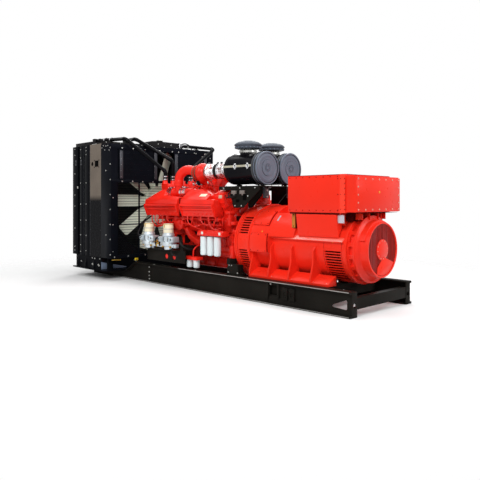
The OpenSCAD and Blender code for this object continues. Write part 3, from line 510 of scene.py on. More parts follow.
def prism_y(bag, outline, ya, yb):
    """A profile given in X and Z, pushed along Y."""
    n = len(outline)
    verts = [(x, y, z) for y in sorted((ya, yb)) for x, z in outline]
    faces = [tuple(range(n)), tuple(reversed(range(n, 2 * n)))]
    faces += [(i, n + i, n + (i + 1) % n, (i + 1) % n) for i in range(n)]
    bag.add(verts, faces)


def prism_x(bag, outline, xa, xb):
    """A profile given in Y and Z, pushed along X."""
    n = len(outline)
    area = sum(a[0] * b[1] - b[0] * a[1] for a, b in zip(outline, outline[1:] + outline[:1]))
    if area < 0:
        outline = outline[::-1]
    verts = [(xa, y, z) for y, z in outline] + [(xb, y, z) for y, z in outline]
    faces = [tuple(reversed(range(n))), tuple(range(n, 2 * n))]
    faces += [(i, (i + 1) % n, n + (i + 1) % n, n + i) for i in range(n)]
    bag.add(verts, faces)


def turned(at, normal):
    """A placing matrix with its Z along a normal and its X kept along the set."""
    z = Vector(normal).normalized()
    x = (Vector(REAR) - z * z.x).normalized()
    y = z.cross(x)
    m = Matrix((x, y, z)).transposed().to_4x4()
    m.translation = at
    return m


def arc_plate(bag, xa, xb, a0, a1, r0, r1, s=-1, n=24):
    """A curved plate about the crank axis; angles in degrees up from the side s."""
    verts, faces = [], []
    for i in range(n + 1):
        t = math.radians(a0 + (a1 - a0) * i / n)
        for x in (xa, xb):
            for r in (r0, r1):
                verts.append((x, s * r * math.cos(t), CRANK_Z + r * math.sin(t)))
    for i in range(n):
        k = 4 * i
        faces += [(k, k + 1, k + 5, k + 4), (k + 2, k + 6, k + 7, k + 3), (k + 1, k + 3, k + 7, k + 5),
                  (k, k + 4, k + 6, k + 2)]
    faces += [(0, 2, 3, 1), (4 * n, 4 * n + 1, 4 * n + 3, 4 * n + 2)]
    bag.add(verts, faces if s < 0 else [f[::-1] for f in faces])


def about_crank(x, r, turn, s=1):
    """A place at a radius from the crank axis, and its outward direction."""
    d = Vector((0, s * math.cos(turn), math.sin(turn)))
    return Vector((x, 0, CRANK_Z)) + d * r, d


def crank_circle(x, r, n, start=0.0):
    """Places of n equal steps round the crank axis."""
    return [about_crank(x, r, turn)[0] for turn in turns(n, start)]


def upright_bars(bag, y, r, n, half, z0, z1):
    """Small square bars that stand in a circle round an air cleaner's neck."""
    for turn in turns(n):
        px, py = CLEANER_X + r * math.cos(turn), y + r * math.sin(turn)
        bag.box((px - half, py - half, z0), (px + half, py + half, z1))


# pieces of the radiator end
def radiator_bolts():
    bag = Bag("radiator_side_bolts", "zinc")
    for x, row in COLUMN_BOLTS.items():
        bag.side_bolts(RAD_Y, grid(x, row), 0.0075, 0.006)
    bag.side_bolts(RAD_Y, grid(GUARD_X - 0.02, GUARD_SIDE_Z), 0.0085, 0.008)
    bag.side_bolts(RAD_Y, grid(-1.7015, (0.7735, 1.861, 2.274)), 0.0085, 0.008)
    corner = ((-1.83, 2.25), (-1.78, 2.285), (-1.64, 2.28), (-1.6, 2.2), (-1.74, 2.21))
    bag.side_bolts(RAD_Y, corner, 0.0075, 0.008)
    base_y = RAD_Y - 0.03
    upper = ((-2.2, 0.35), (-2.12, 0.345), (-1.95, 0.35), (-2.59, 0.264), (-2.42, 0.25))
    bag.side_bolts(base_y, upper, 0.0095, 0.009)
    bag.side_bolts(base_y, ((-2.2, 0.243), (-2.17, 0.232), (-2.0, 0.245), (-1.98, 0.232)), 0.012, 0.01)
    bag = Bag("radiator_square_cap", "cap_white", 0.001)
    bag.box((-2.688, -RAD_Y - 0.002, 1.571), (-2.668, -RAD_Y + 0.006, 1.611))
    lugs = Bag("radiator_lift_plates", "strip", 0.001)
    # dark boxes in the lift holes are painted shade
    holes = Bag("radiator_lift_holes", "dark")
    for x in (-2.74, -2.548):
        lugs.side_box(x - 0.022, x + 0.022, RAD_Y - 0.004, RAD_Y + 0.002, 1.99, 2.085)
        holes.side_box(x - 0.01, x + 0.01, RAD_Y - 0.004, RAD_Y + 0.003, 2.01, 2.065)
    # grey strips along the column edges are painted highlights where the edges catch light
    bag = Bag("radiator_column_edge_highlights", "strip")
    for x in (-2.4485, -2.2365):
        bag.side_box(x, x + 0.0055, RAD_Y - 0.002, RAD_Y + 0.0006, RAD_LOW + 0.01, RAD_HIGH - 0.01)
    bag = Bag("radiator_top_strips", "zinc", 0.001)
    bag.side_box(-2.17, -2.03, RAD_Y - 0.016, RAD_Y - 0.001, 2.3302, 2.337)


def base_plates():
    """Cover plate on the front of the radiator base, on each side, whose blue-grey is a painted reflection
    of the sky.
    """
    bag = Bag("radiator_base_reflection_plates", "base_plate", 0.001)
    for s in SIDES:
        outline = [(s * y, z) for y, z in ((1.115, 0.298), (0.61, 0.186), (0.61, 0.17), (1.115, 0.17))]
        prism_x(bag, outline, -1.901, -1.897)


def shroud_panels():
    """Sight plate with a round hole beside it, on each side of the shroud."""
    for s, side in ((-1, "near"), (1, "far")):
        bag = Bag(f"shroud_sight_plate_{side}", "dark", 0.001)
        bag.box((-2.07, s * (RAD_Y - 0.004), 1.938), (-1.95, s * (RAD_Y + 0.001), 2.044))
        # the dark round disc is painted shade in the sight hole
        bag.disc(0.034, 0.004, (-2.155, s * (RAD_Y - 0.003), 1.992), (0, s, 0), 24)
        for at in grid((-2.085, -1.932), s * (RAD_Y - 0.0025), (1.93, 2.05)):
            bag.disc(0.011, 0.004, at, (0, s, 0), 16)
        bag = Bag(f"shroud_sheet_screws_{side}", "dull_bolt")
        heights = (0.42, 0.62, 0.85, 1.1, 1.33, 1.6, 1.82, 2.12, 2.27)
        bag.bolts(grid((-2.222, -1.886), s * (RAD_Y - 0.001), heights), (0, s, 0), 0.005, 0.003, False)


def guard_details():
    bag = Bag("guard_bolts", "zinc")
    panel_x = GUARD_X + 0.002
    bag.bolts(both(grid(panel_x, (0.29, 0.508, 0.714, 0.924), 1.682)), REAR, 0.009, 0.008)
    bag.bolts(both(grid(panel_x, (0.14, 0.285, 0.455, 0.704, 0.924), 2.245)), REAR, 0.009, 0.008)
    bag.bolts(both(grid(GUARD_X, (0.45, 0.8, 1.07), 0.407)), REAR, 0.009, 0.008)
    bag.bolts(both(grid(GUARD_X, 1.1, (0.5, 0.95, 1.4))), REAR, 0.007, 0.006)
    heights = [1.76 + i * 0.1 for i in range(5)]
    bag.bolts(both(grid(GUARD_X + 0.0085, (0.26, 0.95), heights)), REAR, 0.004, 0.003, False)
    bag = Bag("guard_panel_strips", "strip", 0.001)
    for y in (0.234, 0.94):
        bag.side_box(GUARD_X + 0.006, GUARD_X + 0.0095, y - 0.03, y + 0.03, 1.73, 2.2)
    bag = Bag("guard_panel_swages", "sheet", 0.001)
    for i in range(5):
        z = 1.79 + i * 0.09
        bag.side_box(GUARD_X - 0.005, GUARD_X - 0.0025, 0.29, 0.88, z, z + 0.012)


def core_rows():
    """Rows of tubes and fins, seen on the outer face and through the fan ring."""
    bag = Bag("core_tubes", "core", 0.002)
    for x, s in ((-2.238, 1), (-2.821, -1)):
        for i in range(46):
            y = -0.985 + i * 1.97 / 45
            bag.box((x, y - 0.009, 0.42), (x + s * 0.012, y + 0.009, 2.29))
    bag = Bag("core_outer_fins", "core")
    for i in range(96):
        z = 0.43 + i * 0.0193
        bag.box((-2.84, -0.98, z), (-2.829, 0.98, z + 0.003))
    bag = Bag("core_stone_guard", "radiator")
    for i in range(22):
        z = 0.47 + i * 0.085
        bag.rod((-2.856, -1.0, z), (-2.856, 1.0, z), 0.003, 8)
    for i in range(12):
        y = -0.99 + i * 0.18
        bag.rod((-2.85, y, 0.42), (-2.85, y, 2.3), 0.003, 8)


def header_details():
    bag = Bag("radiator_cap", "zinc", 0.002)
    bag.lathe([(0.05, 0), (0.062, 0.004), (0.062, 0.016), (0.03, 0.02)], (-2.036, 0.22, 2.48), UP, 32)
    bag = Bag("header_bolts", "zinc")
    tank = ((0.06, 2.405), (0.2, 2.35), (0.36, 2.4), (0.5, 2.35))
    flange = ((-1.04, 2.36), (-0.75, 2.36), (-0.3, 2.36))
    bag.bolts([(RING_X, y, z) for y, z in tank + flange], REAR, 0.008, 0.008)
    bag = Bag("header_strap", "chrome", 0.001)
    bag.box((RING_X, 0.555, 2.33), (RING_X + 0.008, 0.575, 2.452))
    bag.box((-2.2, 0.555, 2.4525), (RING_X + 0.008, 0.575, 2.458))
    bag = Bag("header_overflow_hoses", "rubber")
    for path in (
            [(-1.95, 0.6, 2.4), (-1.88, 0.7, 2.47), (-1.84, 0.82, 2.41), (-1.83, 0.9, 2.2)],
            [(-2.0, 0.62, 2.37), (-1.86, 0.64, 2.36), (-1.845, 0.7, 2.2), (-1.845, 0.72, 2.0)],
            [(-1.84, 0.85, 2.3), (-1.8, 0.95, 2.36), (-1.8, 1.03, 2.3), (-1.82, 1.05, 2.1)]):
        bag.hose(path, 0.07, 0.01, 10)
    bag = Bag("header_fittings", "zinc")
    for path in (
            [(-1.85, 0.64, 2.33), (-1.83, 0.68, 2.36), (-1.83, 0.74, 2.35), (-1.84, 0.78, 2.28)],
            [(-1.85, 0.9, 2.35), (-1.83, 0.96, 2.37), (-1.83, 1.02, 2.33), (-1.84, 1.06, 2.26)]):
        bag.hose(path, 0.04, 0.006, 8)
    ends = ((0.66, 2.3), (0.75, 2.38), (0.86, 2.24), (0.95, 2.3), (0.7, 2.1), (0.9, 2.06), (1.06, 2.22))
    for y, z in ends:
        bag.bolt((GUARD_X + 0.004, y, z - 0.05), REAR, 0.0075, 0.008)
        bag.lathe([(0.012, 0), (0.012, 0.02), (0.008, 0.026)], (-1.845, y, z), (1, -0.3, 0.3), 8)
    bag = Bag("header_hose_brackets", "strip", 0.003)
    for y, z, w in ((0.66, 2.26, 0.05), (0.8, 2.2, 0.07), (0.98, 2.14, 0.06)):
        bag.box((-1.862, y - w, z - 0.05), (-1.815, y + w, z + 0.03))


def pipe_joints():
    sleeves = Bag("coolant_hose_sleeves", "rubber")
    clamps = Bag("coolant_hose_clamps", "chrome")
    for x, y, top in ((-1.189, -0.283, 1.79), (-1.203, -0.109, 1.79), (-1.203, 0.283, 1.79)):
        profile = [(0.037, 0), (0.0385, 0.006), (0.0385, top - 1.706), (0.037, top - 1.7)]
        sleeves.lathe(profile, (x, y, 1.7), UP)
        for z in (1.712, top - 0.03):
            clamps.ring((x, y, z), UP, 0.038, 0.0415, 0.014)
            clamps.box((x + 0.038, y - 0.008, z), (x + 0.058, y + 0.008, z + 0.014))
    bag = Bag("pipe_support_clamps", "chrome")
    for x, y, z in ((-2.12, -0.9, 2.424), (-1.93, -0.9, 2.417), (-2.2, 0.902, 2.433)):
        bag.ring((x, y, z), REAR, 0.0385, 0.043, 0.02)


# pieces of the engine
def engine_clamps():
    clamps = Bag("charge_pipe_clamps", "chrome")
    charge_rows = (((-0.905, -0.878, -0.85, -0.5, -0.474, -0.447), 0.0665),
                   ((-0.812, -0.79, -0.556, -0.534), 0.0765))
    for row, r in charge_rows:
        for at in both(grid(row, 0.4, 1.49)):
            clamps.ring(at, REAR, r, r + 0.012, 0.0145)
    for x, y, z in both(grid((-0.878, -0.812, -0.534, -0.474), 0.42, 1.563)):
        clamps.box((x - 0.004, y - 0.014, z), (x + 0.016, y + 0.014, 1.582))
    for x, y, z in both(grid((-0.872, -0.806, -0.528, -0.468), 0.4, 1.574)):
        clamps.rod((x, y - 0.03, z), (x, y + 0.03, z), 0.005, 10)
    for x, y, z in both(grid((-0.066, 0.118, 0.2, 0.336), CLEANER_Y, 1.814)):
        clamps.ring((x, y, z), REAR, 0.116, 0.1215, 0.012)
        clamps.box((x - 0.002, y - 0.02, 1.934), (x + 0.014, y + 0.02, 1.952))
    joint = Bag("exhaust_bend_joint", "bare_joint")
    bend_r = 0.172
    a = math.radians(25)
    for s, (turn, w) in product(SIDES, ((38, 0.014), (46, 0.01))):
        c = math.radians(turn)
        reach = bend_r + bend_r * math.cos(c)
        at = (-0.66 + reach * math.cos(a), s * (0.4 - reach * math.sin(a)), 1.682 + bend_r * math.sin(c))
        along = (math.sin(c) * math.cos(a), -s * math.sin(c) * math.sin(a), -math.cos(c))
        joint.ring(at, along, 0.0745, 0.081, w)
    foil = Bag("compressor_inlet_foil", "foil")
    sleeve = Bag("compressor_inlet_hump_hose", "rubber")
    cone = Bag("compressor_inlet_sleeve", "foil")
    bands = Bag("turbo_band_clamps", "bare_joint")
    folds = [(0.104, 0)]
    for i in range(9):
        folds += [(0.1165 + 0.002 * math.sin(i * 2.3), 0.004 + i * 0.02), (0.1105, 0.014 + i * 0.02)]
    folds += [(0.104, 0.184)]
    hump = [(0.105, 0), (0.116, 0.002), (0.116, 0.07), (0.105, 0.072)]
    cuff = [(0.105, 0), (0.114, 0.003), (0.111, 0.05), (0.115, 0.1), (0.114, 0.14), (0.12, 0.2),
            (0.12, 0.252), (0.105, 0.258)]
    for s in SIDES:
        y = s * CLEANER_Y
        foil.lathe(folds, (-0.06, y, 1.812), REAR, 64)
        sleeve.lathe(hump, (0.128, y, 1.815), REAR, 48)
        cone.lathe(cuff, (0.2, y, 1.816), REAR, 64)
        for x, low, high, w in ((-0.374, 0.1225, 0.1265, 0.03), (-0.342, 0.0925, 0.108, 0.05),
                                (-0.075, 0.1285, 0.1325, 0.012)):
            bands.ring((x, y, 1.8), REAR, low, high, w)


def housing_bolts():
    bag = Bag("housing_flange_bolts", "engine")
    line = Bag("housing_ledge_shadows", "ledge_shadow")
    gap_shade_plates = Bag("housing_gap_shade", "gap_shade")
    columns = [-1.24 + i * 0.092 for i in range(10)] + [-0.29 + i * 0.092 for i in range(8)]
    bag.side_bolts(0.674, grid(columns, 1.279), 0.0075, 0.003, False)
    for s in SIDES:
        bag.bolts(grid(columns, s * 0.616, 1.15), (0, s, 0.08), 0.011, 0.009)
    # dark red strips under the housing ledges are painted shadows
    for x0, x1 in ((-1.268, -0.404), (-0.32, 0.458)):
        for y, z, h in ((0.6545, 1.2545, 0.009), (0.6445, 1.232, 0.008), (0.6525, 1.2985, 0.005)):
            line.side_box(x0, x1, y - 0.004, y + 0.0012, z, z + h)
    # dark plates in the gap between the two housings are painted shade
    gap_shade_plates.side_box(-0.4015, -0.3225, 0.5, 0.598, 1.115, 1.39)
    gap_shade_plates.side_box(-0.4, -0.324, 0.42, 0.5, 1.3, 1.46)


def head_and_cover_bolts():
    bag = Bag("rocker_cover_bolts", "engine")
    line = Bag("rocker_cover_lines", "line_red")
    for s in SIDES:
        out, across = bank_axes(s)
        bag.bolts(bank_grid(s, (0.325, 0.417, 0.51), 0.85, (-0.1, 0.078)), out, 0.011, 0.012)
        rows = [0.64 + i * 0.035 for i in range(5)]
        bag.bolts(bank_grid(s, 0.53, rows, (-0.125, 0.12)), REAR, 0.009, 0.009)
        bag.bolts(bank_grid(s, (0.33, 0.39, 0.45, 0.51), 0.6, 0.148), across, 0.009, 0.009)
    bank_boxes(line, (0.5302, 0.5312, 0.665, 0.79, -0.09, 0.085), (0.33, 0.5, 0.64, 0.65, 0.1485, 0.1495))
    plate = Bag("rocker_cover_end_plates", "engine", 0.003)
    bank_boxes(plate, (0.5305, 0.54, 0.67, 0.785, -0.085, 0.08), (0.54, 0.556, 0.7, 0.75, -0.04, 0.03),
               (0.325, 0.51, 0.8495, 0.856, -0.085, 0.06))
    bank_boxes(plate, *[(x, x + 0.012, 0.6, 0.705, 0.147, 0.162) for x in (0.34, 0.405, 0.47)])
    bag = Bag("crankcase_cover_bolts", "engine")
    columns = [-1.02 + (i + 0.5) * 1.65 / 8 + dx for i in range(8) for dx in (-0.065, 0.065)]
    for s in SIDES:
        for y, z in ((0.398, 0.92), (0.437, 1.05)):
            bag.bolts(grid(columns, s * y, z), (0, s, -0.3), 0.011, 0.009)
    bag.side_bolts(0.356, grid(columns, (0.67, 0.78)), 0.01, 0.009)


def engine_side():
    """Brackets, brace, painted shade in the gaps and loops of line on the crankcase sides."""
    bag = Bag("crankcase_brackets", "engine", 0.006)
    gap_shade_plates = Bag("crankcase_gap_shades", "gap_shade")
    line = Bag("crankcase_lines", "engine")
    pale = Bag("crankcase_pale_lines", "pale_screw")
    bracket = [(-0.69, 1.05), (-0.44, 1.05), (-0.4, 1.0), (-0.45, 0.9), (-0.52, 0.87), (-0.58, 0.9)]
    brace = [(-0.45, 0.9), (-0.38, 0.93), (-0.26, 0.8), (-0.07, 0.73), (-0.07, 0.66), (-0.15, 0.66),
             (-0.32, 0.75)]
    loops = ((-1.13, 0.06, 0.2), (-1.05, 0.09, 0.16), (-0.93, -0.07, 0.19), (-0.84, 0.1, 0.22),
             (-0.72, 0.05, 0.12), (-0.2, 0.11, 0.17), (-0.06, -0.08, 0.15), (0.12, 0.1, 0.14),
             (0.3, 0.1, 0.2), (0.46, -0.09, 0.17))
    bag.side_box(-0.95, -0.82, 0.36, 0.43, 0.87, 0.96)
    bag.side_box(0.15, 0.36, 0.36, 0.43, 0.9, 0.95)
    # dark plates on the crankcase side are painted shade where it lies in shadow
    for x0, x1 in ((-0.36, -0.2), (-0.56, -0.42), (-0.78, -0.64)):
        gap_shade_plates.side_box(x0, x1, 0.3575, 0.3595, 0.66, 0.795)
    gap_shade_plates.side_box(-0.5, -0.06, 0.345, 0.3475, 0.815, 0.86)
    for x0, x1 in ((-0.36, -0.29), (-0.02, 0.04), (0.22, 0.3), (-0.82, -0.76)):
        gap_shade_plates.side_box(x0, x1, 0.46, 0.48, 1.0, 1.05)
    for s in SIDES:
        prism_y(bag, bracket, s * 0.44, s * 0.515)
        prism_y(bag, brace, s * 0.36, s * 0.47)
        for x, z, r in ((-0.62, 1.0, 0.016), (-0.5, 1.0, 0.018), (-0.5, 0.92, 0.014)):
            bag.lathe([(r, 0), (r, 0.008), (r * 0.7, 0.012)], (x, s * 0.515, z), (0, s, 0), 16)
        for x, dx, drop in loops:
            path = [(x, s * 0.6, 1.115), (x + dx * 0.2, s * 0.612, 1.115 - drop * 0.6),
                    (x + dx, s * 0.58, 1.115 - drop), (x + dx * 1.6, s * 0.5, 1.14 - drop)]
            line.hose(path, 0.06, 0.009, 10)
        for x in (-0.985, -0.955):
            path = [(x, s * 0.62, 1.12), (x + 0.01, s * 0.63, 1.06), (x + 0.03, s * 0.6, 1.02),
                    (x + 0.08, s * 0.55, 1.0)]
            pale.hose(path, 0.04, 0.006, 8)
        path = [(-1.15, s * 0.57, 0.99), (-1.0, s * 0.6, 0.92), (-0.86, s * 0.6, 0.94),
                (-0.8, s * 0.56, 1.02)]
        line.hose(path, 0.1, 0.011, 12)
        path = [(-0.3, s * 0.56, 0.95), (-0.16, s * 0.6, 1.0), (-0.04, s * 0.58, 0.94), (0.05, s * 0.5, 0.9)]
        line.hose(path, 0.08, 0.008, 10)
    bag = Bag("bell_housing_lugs", "engine", 0.008)
    gap_shade_plates = Bag("bell_housing_gap_shade", "gap_shade")
    for span in ((0.69, 0.76, 0.44, 0.52, 1.0, 1.05), (0.7, 0.77, 0.45, 0.5, 0.86, 0.93),
                 (0.56, 0.68, 0.4, 0.52, 1.16, 1.2), (0.6, 0.66, 0.42, 0.5, 0.98, 1.16)):
        bag.side_box(*span)
    # a dark plate in the bell housing gap is painted shade
    gap_shade_plates.side_box(0.69, 0.79, 0.4, 0.405, 1.06, 1.13)
    bag = Bag("bell_housing_bolts", "engine")
    bag.bolts(crank_circle(0.686, 0.466, 36), REAR, 0.009, 0.01)


def fuel_lines():
    """Thin red lines below both charge-air housings, and hoses on the near side."""
    bag = Bag("fuel_rails", "engine")
    for s in SIDES:
        for x in BLOCK_X:
            path = [(x, s * 0.462, 1.14), (x, s * 0.5, 1.1), (x + 0.02, s * 0.5, 1.0),
                    (x + 0.05, s * 0.452, 0.95)]
            bag.hose(path, 0.03, 0.008, 10)
            path = [(x + 0.09, s * 0.47, 1.13), (x + 0.1, s * 0.525, 1.08), (x + 0.1, s * 0.52, 0.97),
                    (x + 0.06, s * 0.46, 0.93)]
            bag.hose(path, 0.03, 0.006, 10)
        for y, z, r in ((0.53, 1.075, 0.013), (0.505, 0.985, 0.01)):
            bag.tube([(-1.02, s * y, z), (0.5, s * y, z)], r, 12)
    bag = Bag("fuel_rail_blocks", "engine", 0.005)
    for x in BLOCK_X:
        bag.side_box(x - 0.03, x + 0.035, 0.46, 0.545, 1.045, 1.105)
    bag = Bag("fuel_hoses", "rubber")
    hoses = (
        ([(-1.1, -0.83, 0.76), (-1.2, -0.85, 0.8), (-1.24, -0.7, 1.0), (-1.24, -0.52, 1.1)], 0.08, 0.012),
        ([(-0.19, -0.76, 0.72), (-0.1, -0.78, 0.66), (-0.05, -0.68, 0.6), (-0.05, -0.5, 0.62)], 0.06, 0.013),
        ([(-0.35, -0.78, 0.62), (-0.36, -0.8, 0.54), (-0.3, -0.79, 0.5), (-0.2, -0.72, 0.5)], 0.04, 0.01),
    )
    for path, bend, r in hoses:
        bag.hose(path, bend, r, 12)


def valley_lines():
    bag = Bag("turbo_oil_lines", "engine")
    lines = (
        ([(-0.44, -0.3, 1.7), (-0.4, -0.28, 1.62), (-0.28, -0.22, 1.56), (-0.2, -0.1, 1.5)], 0.05, 0.009),
        ([(-0.5, -0.2, 1.45), (-0.48, -0.2, 1.66), (-0.36, -0.28, 1.7), (-0.31, -0.3, 1.74)], 0.08, 0.008),
        ([(0.04, -0.3, 1.6), (-0.02, -0.32, 1.66), (-0.1, -0.27, 1.7), (-0.17, -0.26, 1.73)], 0.05, 0.01),
    )
    for path, bend, r in lines:
        bag.hose(path, bend, r, 10)
    for i in range(5):
        x = -0.4 + i * 0.1
        path = [(x, -0.33, 1.545), (x + 0.01, -0.25, 1.6), (x + 0.05, -0.12, 1.56), (x + 0.05, -0.05, 1.45)]
        bag.hose(path, 0.06, 0.009, 10)
    bag = Bag("turbo_oil_fittings", "zinc")
    for at in ((-0.3, -0.22, 1.585), (-0.22, -0.18, 1.59), (-0.05, -0.3, 1.62), (-0.45, -0.26, 1.6)):
        bag.lathe([(0.018, 0), (0.018, 0.03), (0.012, 0.036)], at, (0.2, -0.3, 1), 6)


def oil_filter_set():
    head = Bag("oil_filter_head", "engine", 0.004)
    cans = Bag("oil_filter_cans", "can")
    rings = Bag("oil_filter_seals", "rubber")
    caps = Bag("oil_filter_head_caps", "cap_white", 0.002)
    can = [(0.001, 0), (0.036, 0.001), (0.047, 0.006), (0.053, 0.018), (0.054, 0.03), (0.054, 0.268),
           (0.0525, 0.272), (0.0525, 0.276), (0.051, 0.28)]
    for x in (0.235, 0.385, 0.535):
        cans.lathe(can, (x, OIL_Y, 0.541), UP, 48)
        rings.lathe([(0.0525, 0), (0.0525, 0.009), (0.046, 0.012)], (x, OIL_Y, 0.821), UP, 48)
        head.lathe([(0.056, 0), (0.056, 0.03), (0.05, 0.036)], (x, OIL_Y, 0.882), UP, 32)
    outline = [(-0.698, 0.838), (-0.69, 0.832), (-0.57, 0.832), (-0.56, 0.838), (-0.56, 0.896),
               (-0.59, 0.908), (-0.672, 0.908), (-0.698, 0.88)]
    prism_x(head, outline, 0.15, 0.7)
    head.box((0.16, -0.57, 0.83), (0.5, -0.341, 0.858))
    web = [(-0.56, 0.84), (-0.56, 0.9), (-0.35, 0.858), (-0.35, 0.85)]
    prism_x(head, web, 0.17, 0.2)
    prism_x(head, web, 0.46, 0.49)
    head.bolts(grid((0.17, 0.31, 0.46, 0.62, 0.68), -0.698, 0.862), NEAR, 0.012, 0.0019, False)
    for x in (0.265, 0.6445):
        head.lathe([(0.026, 0), (0.026, 0.012), (0.02, 0.014)], (x, -0.655, 0.9), UP, 32)
        caps.box((x - 0.022, -0.7025, 0.856), (x + 0.022, -0.697, 0.894))


def bypass_filter_set():
    cans = Bag("bypass_filter_cans", "can")
    head = Bag("bypass_filter_head", "engine", 0.003)
    # the arm is painted in the darker shade red, as painted shade where it lies in shadow
    arm = Bag("bypass_filter_arm", "shade_red", 0.003)
    can = [(0.001, 0), (0.036, 0.001), (0.046, 0.006), (0.05, 0.018), (0.05, 0.112), (0.046, 0.122)]
    for x in (-0.105, 0.05):
        cans.lathe(can, (x, -0.625, 0.331), UP, 48)
    head.box((-0.18, -0.69, 0.454), (0.13, -0.56, 0.5))
    arm.box((-0.12, -0.58, 0.49), (0.06, -0.56, 0.636))
    arm.box((-0.12, -0.58, 0.604), (0.06, -0.341, 0.636))
    path = [(-0.03, -0.62, 0.49), (-0.03, -0.62, 0.6), (-0.01, -0.56, 0.66), (0.0, -0.4, 0.68)]
    head.hose(path, 0.04, 0.012, 12)
    head.bolts(grid((-0.16, -0.03, 0.11), -0.688, 0.477), NEAR, 0.01, 0.0018, False)


def bracket_plugs():
    """Red covers seated in the two round holes of the fuel filter bracket."""
    bag = Bag("bracket_hole_covers", "engine")
    for x in (-0.525, -0.33):
        bag.lathe([(0.0382, 0), (0.0382, 0.007), (0.034, 0.009)], (x, -0.744, 0.475), NEAR, 40)


def fuel_filter_set():
    cream = Bag("fuel_filter_cans", "cream")
    cast = Bag("fuel_manifold", "alloy", 0.003)
    fit = Bag("fuel_manifold_bolts", "zinc")
    # dark discs and boxes on the casting are painted shade in its ports and recesses
    dark = Bag("fuel_manifold_ports", "dark")
    brass = Bag("fuel_manifold_fittings", "brass")
    hose = Bag("fuel_manifold_hoses", "rubber")
    can = [(0.079, 0), (0.08, 0.004), (0.08, 0.128), (0.076, 0.14), (0.001, 0.146)]
    body = [(0.058, 0), (0.066, 0.01), (0.066, 0.052), (0.09, 0.062), (0.09, 0.116), (0.078, 0.124),
            (0.078, 0.206), (0.094, 0.214), (0.094, 0.236), (0.082, 0.244), (0.082, 0.262)]
    port = [(0.014, 0), (0.014, 0.02), (0.009, 0.02), (0.009, 0.03)]
    heads = ((-0.12, 0.668), (-0.08, 0.69), (0.07, 0.672), (0.1, 0.695), (-0.13, 0.77), (0.08, 0.765))
    for x in FUEL_X:
        cream.lathe(can, (x, FUEL_Y, 0.85), UP, 48)
        cast.lathe(body, (x, FUEL_Y, MANIFOLD_Z), UP, 48)
        cast.box((x - 0.176, MANIFOLD_FACE, 0.706), (x + 0.186, -0.704, 0.79))
        cast.box((x - 0.15, -0.816, 0.65), (x + 0.12, -0.706, 0.708))
        for dx in (-0.15, 0.152):
            cast.lathe([(0.03, 0), (0.03, 0.012), (0.024, 0.014)], (x + dx, MANIFOLD_FACE, 0.748), NEAR, 24)
            dark.disc(0.014, 0.0008, (x + dx, -0.846, 0.748), NEAR, 20)
        cast.lathe([(0.04, 0), (0.04, 0.032), (0.034, 0.034)], (x, -0.816, 0.69), NEAR, 32)
        dark.disc(0.026, 0.001, (x, -0.8495, 0.69), NEAR, 24)
        fit.disc(0.012, 0.006, (x, -0.85, 0.69), NEAR, 6)
        for k in range(4):
            for dx, width in ((-0.16 + k * 0.03, 0.008), (0.07 + k * 0.026, 0.007)):
                cast.box((x + dx, -0.84, 0.71), (x + dx + width, -0.831, 0.786))
        fit.lathe([(0.04, 0), (0.04, 0.005), (0.016, 0.0055)], (x, FUEL_Y, 0.9905), UP, 24)
        fit.ring((x, FUEL_Y, 0.905), UP, 0.0802, 0.082, 0.01)
        brass.ring((x, FUEL_Y, 0.976), UP, 0.077, 0.0812, 0.008)
        brass.box((x - 0.006, -0.8525, 0.93), (x + 0.012, -0.848, 0.98))
        brass.box((x - 0.055, -0.835, 0.95), (x - 0.045, -0.825, 0.985))
        for turn in turns(12):
            at = (x + 0.0885 * math.cos(turn), FUEL_Y + 0.0885 * math.sin(turn), 0.821)
            fit.bolt(at, UP, 0.006, 0.009, False)
        for dx, z in heads:
            fit.bolt((x + dx, -0.8155 if z < 0.7 else -0.8315, z), NEAR, 0.01, 0.014)
        for dx in (-0.1, 0.09):
            brass.lathe(port, (x + dx, -0.79, 0.63), NEAR, 6)
        for dx in (-0.06, 0.035):
            dark.box((x + dx, -0.8325, 0.715), (x + dx + 0.025, -0.829, 0.782))
    cast.box((-1.12, -0.79, 0.62), (-0.25, -0.73, 0.676))
    for x in (-1.06, -0.76, -0.69, -0.32):
        cast.lathe([(0.022, 0), (0.022, 0.02), (0.016, 0.022)], (x, -0.79, 0.646), NEAR, 24)
    for x in (-1.04, -0.88, -0.56, -0.38):
        cast.disc(0.016, 0.045, (x, -0.762, MANIFOLD_Z), UP, 24)
    spans = ((-0.79, -0.64, 0.75, 0.75), (-0.79, -0.72, 0.725, 0.66), (-0.66, -0.64, 0.64, 0.73))
    for x0, x1, z0, z1 in spans:
        path = [(x0, -0.78, z0), ((2 * x0 + x1) / 3, -0.8, z0), ((x0 + 2 * x1) / 3, -0.8, z1),
                (x1, -0.78, z1)]
        hose.hose(path, 0.03, 0.011, 12)
    path = [(-0.74, -0.8, 0.61), (-0.74, -0.83, 0.7), (-0.7, -0.83, 0.77), (-0.66, -0.8, 0.77)]
    hose.hose(path, 0.04, 0.009, 10)
    for x, z in ((-0.74, 0.7), (-0.7, 0.72), (-0.68, 0.69), (-0.77, 0.69)):
        brass.lathe([(0.012, 0), (0.012, 0.02), (0.008, 0.02), (0.008, 0.03)], (x, -0.79, z), NEAR, 6)
    path = [(-0.72, -0.8, 0.62), (-0.72, -0.82, 0.66), (-0.68, -0.82, 0.68), (-0.66, -0.79, 0.64)]
    brass.hose(path, 0.03, 0.007, 8)
    path = [(-1.1, -0.8, 0.66), (-1.13, -0.82, 0.63), (-1.08, -0.82, 0.61), (-1.05, -0.79, 0.6)]
    fit.hose(path, 0.03, 0.007, 8)


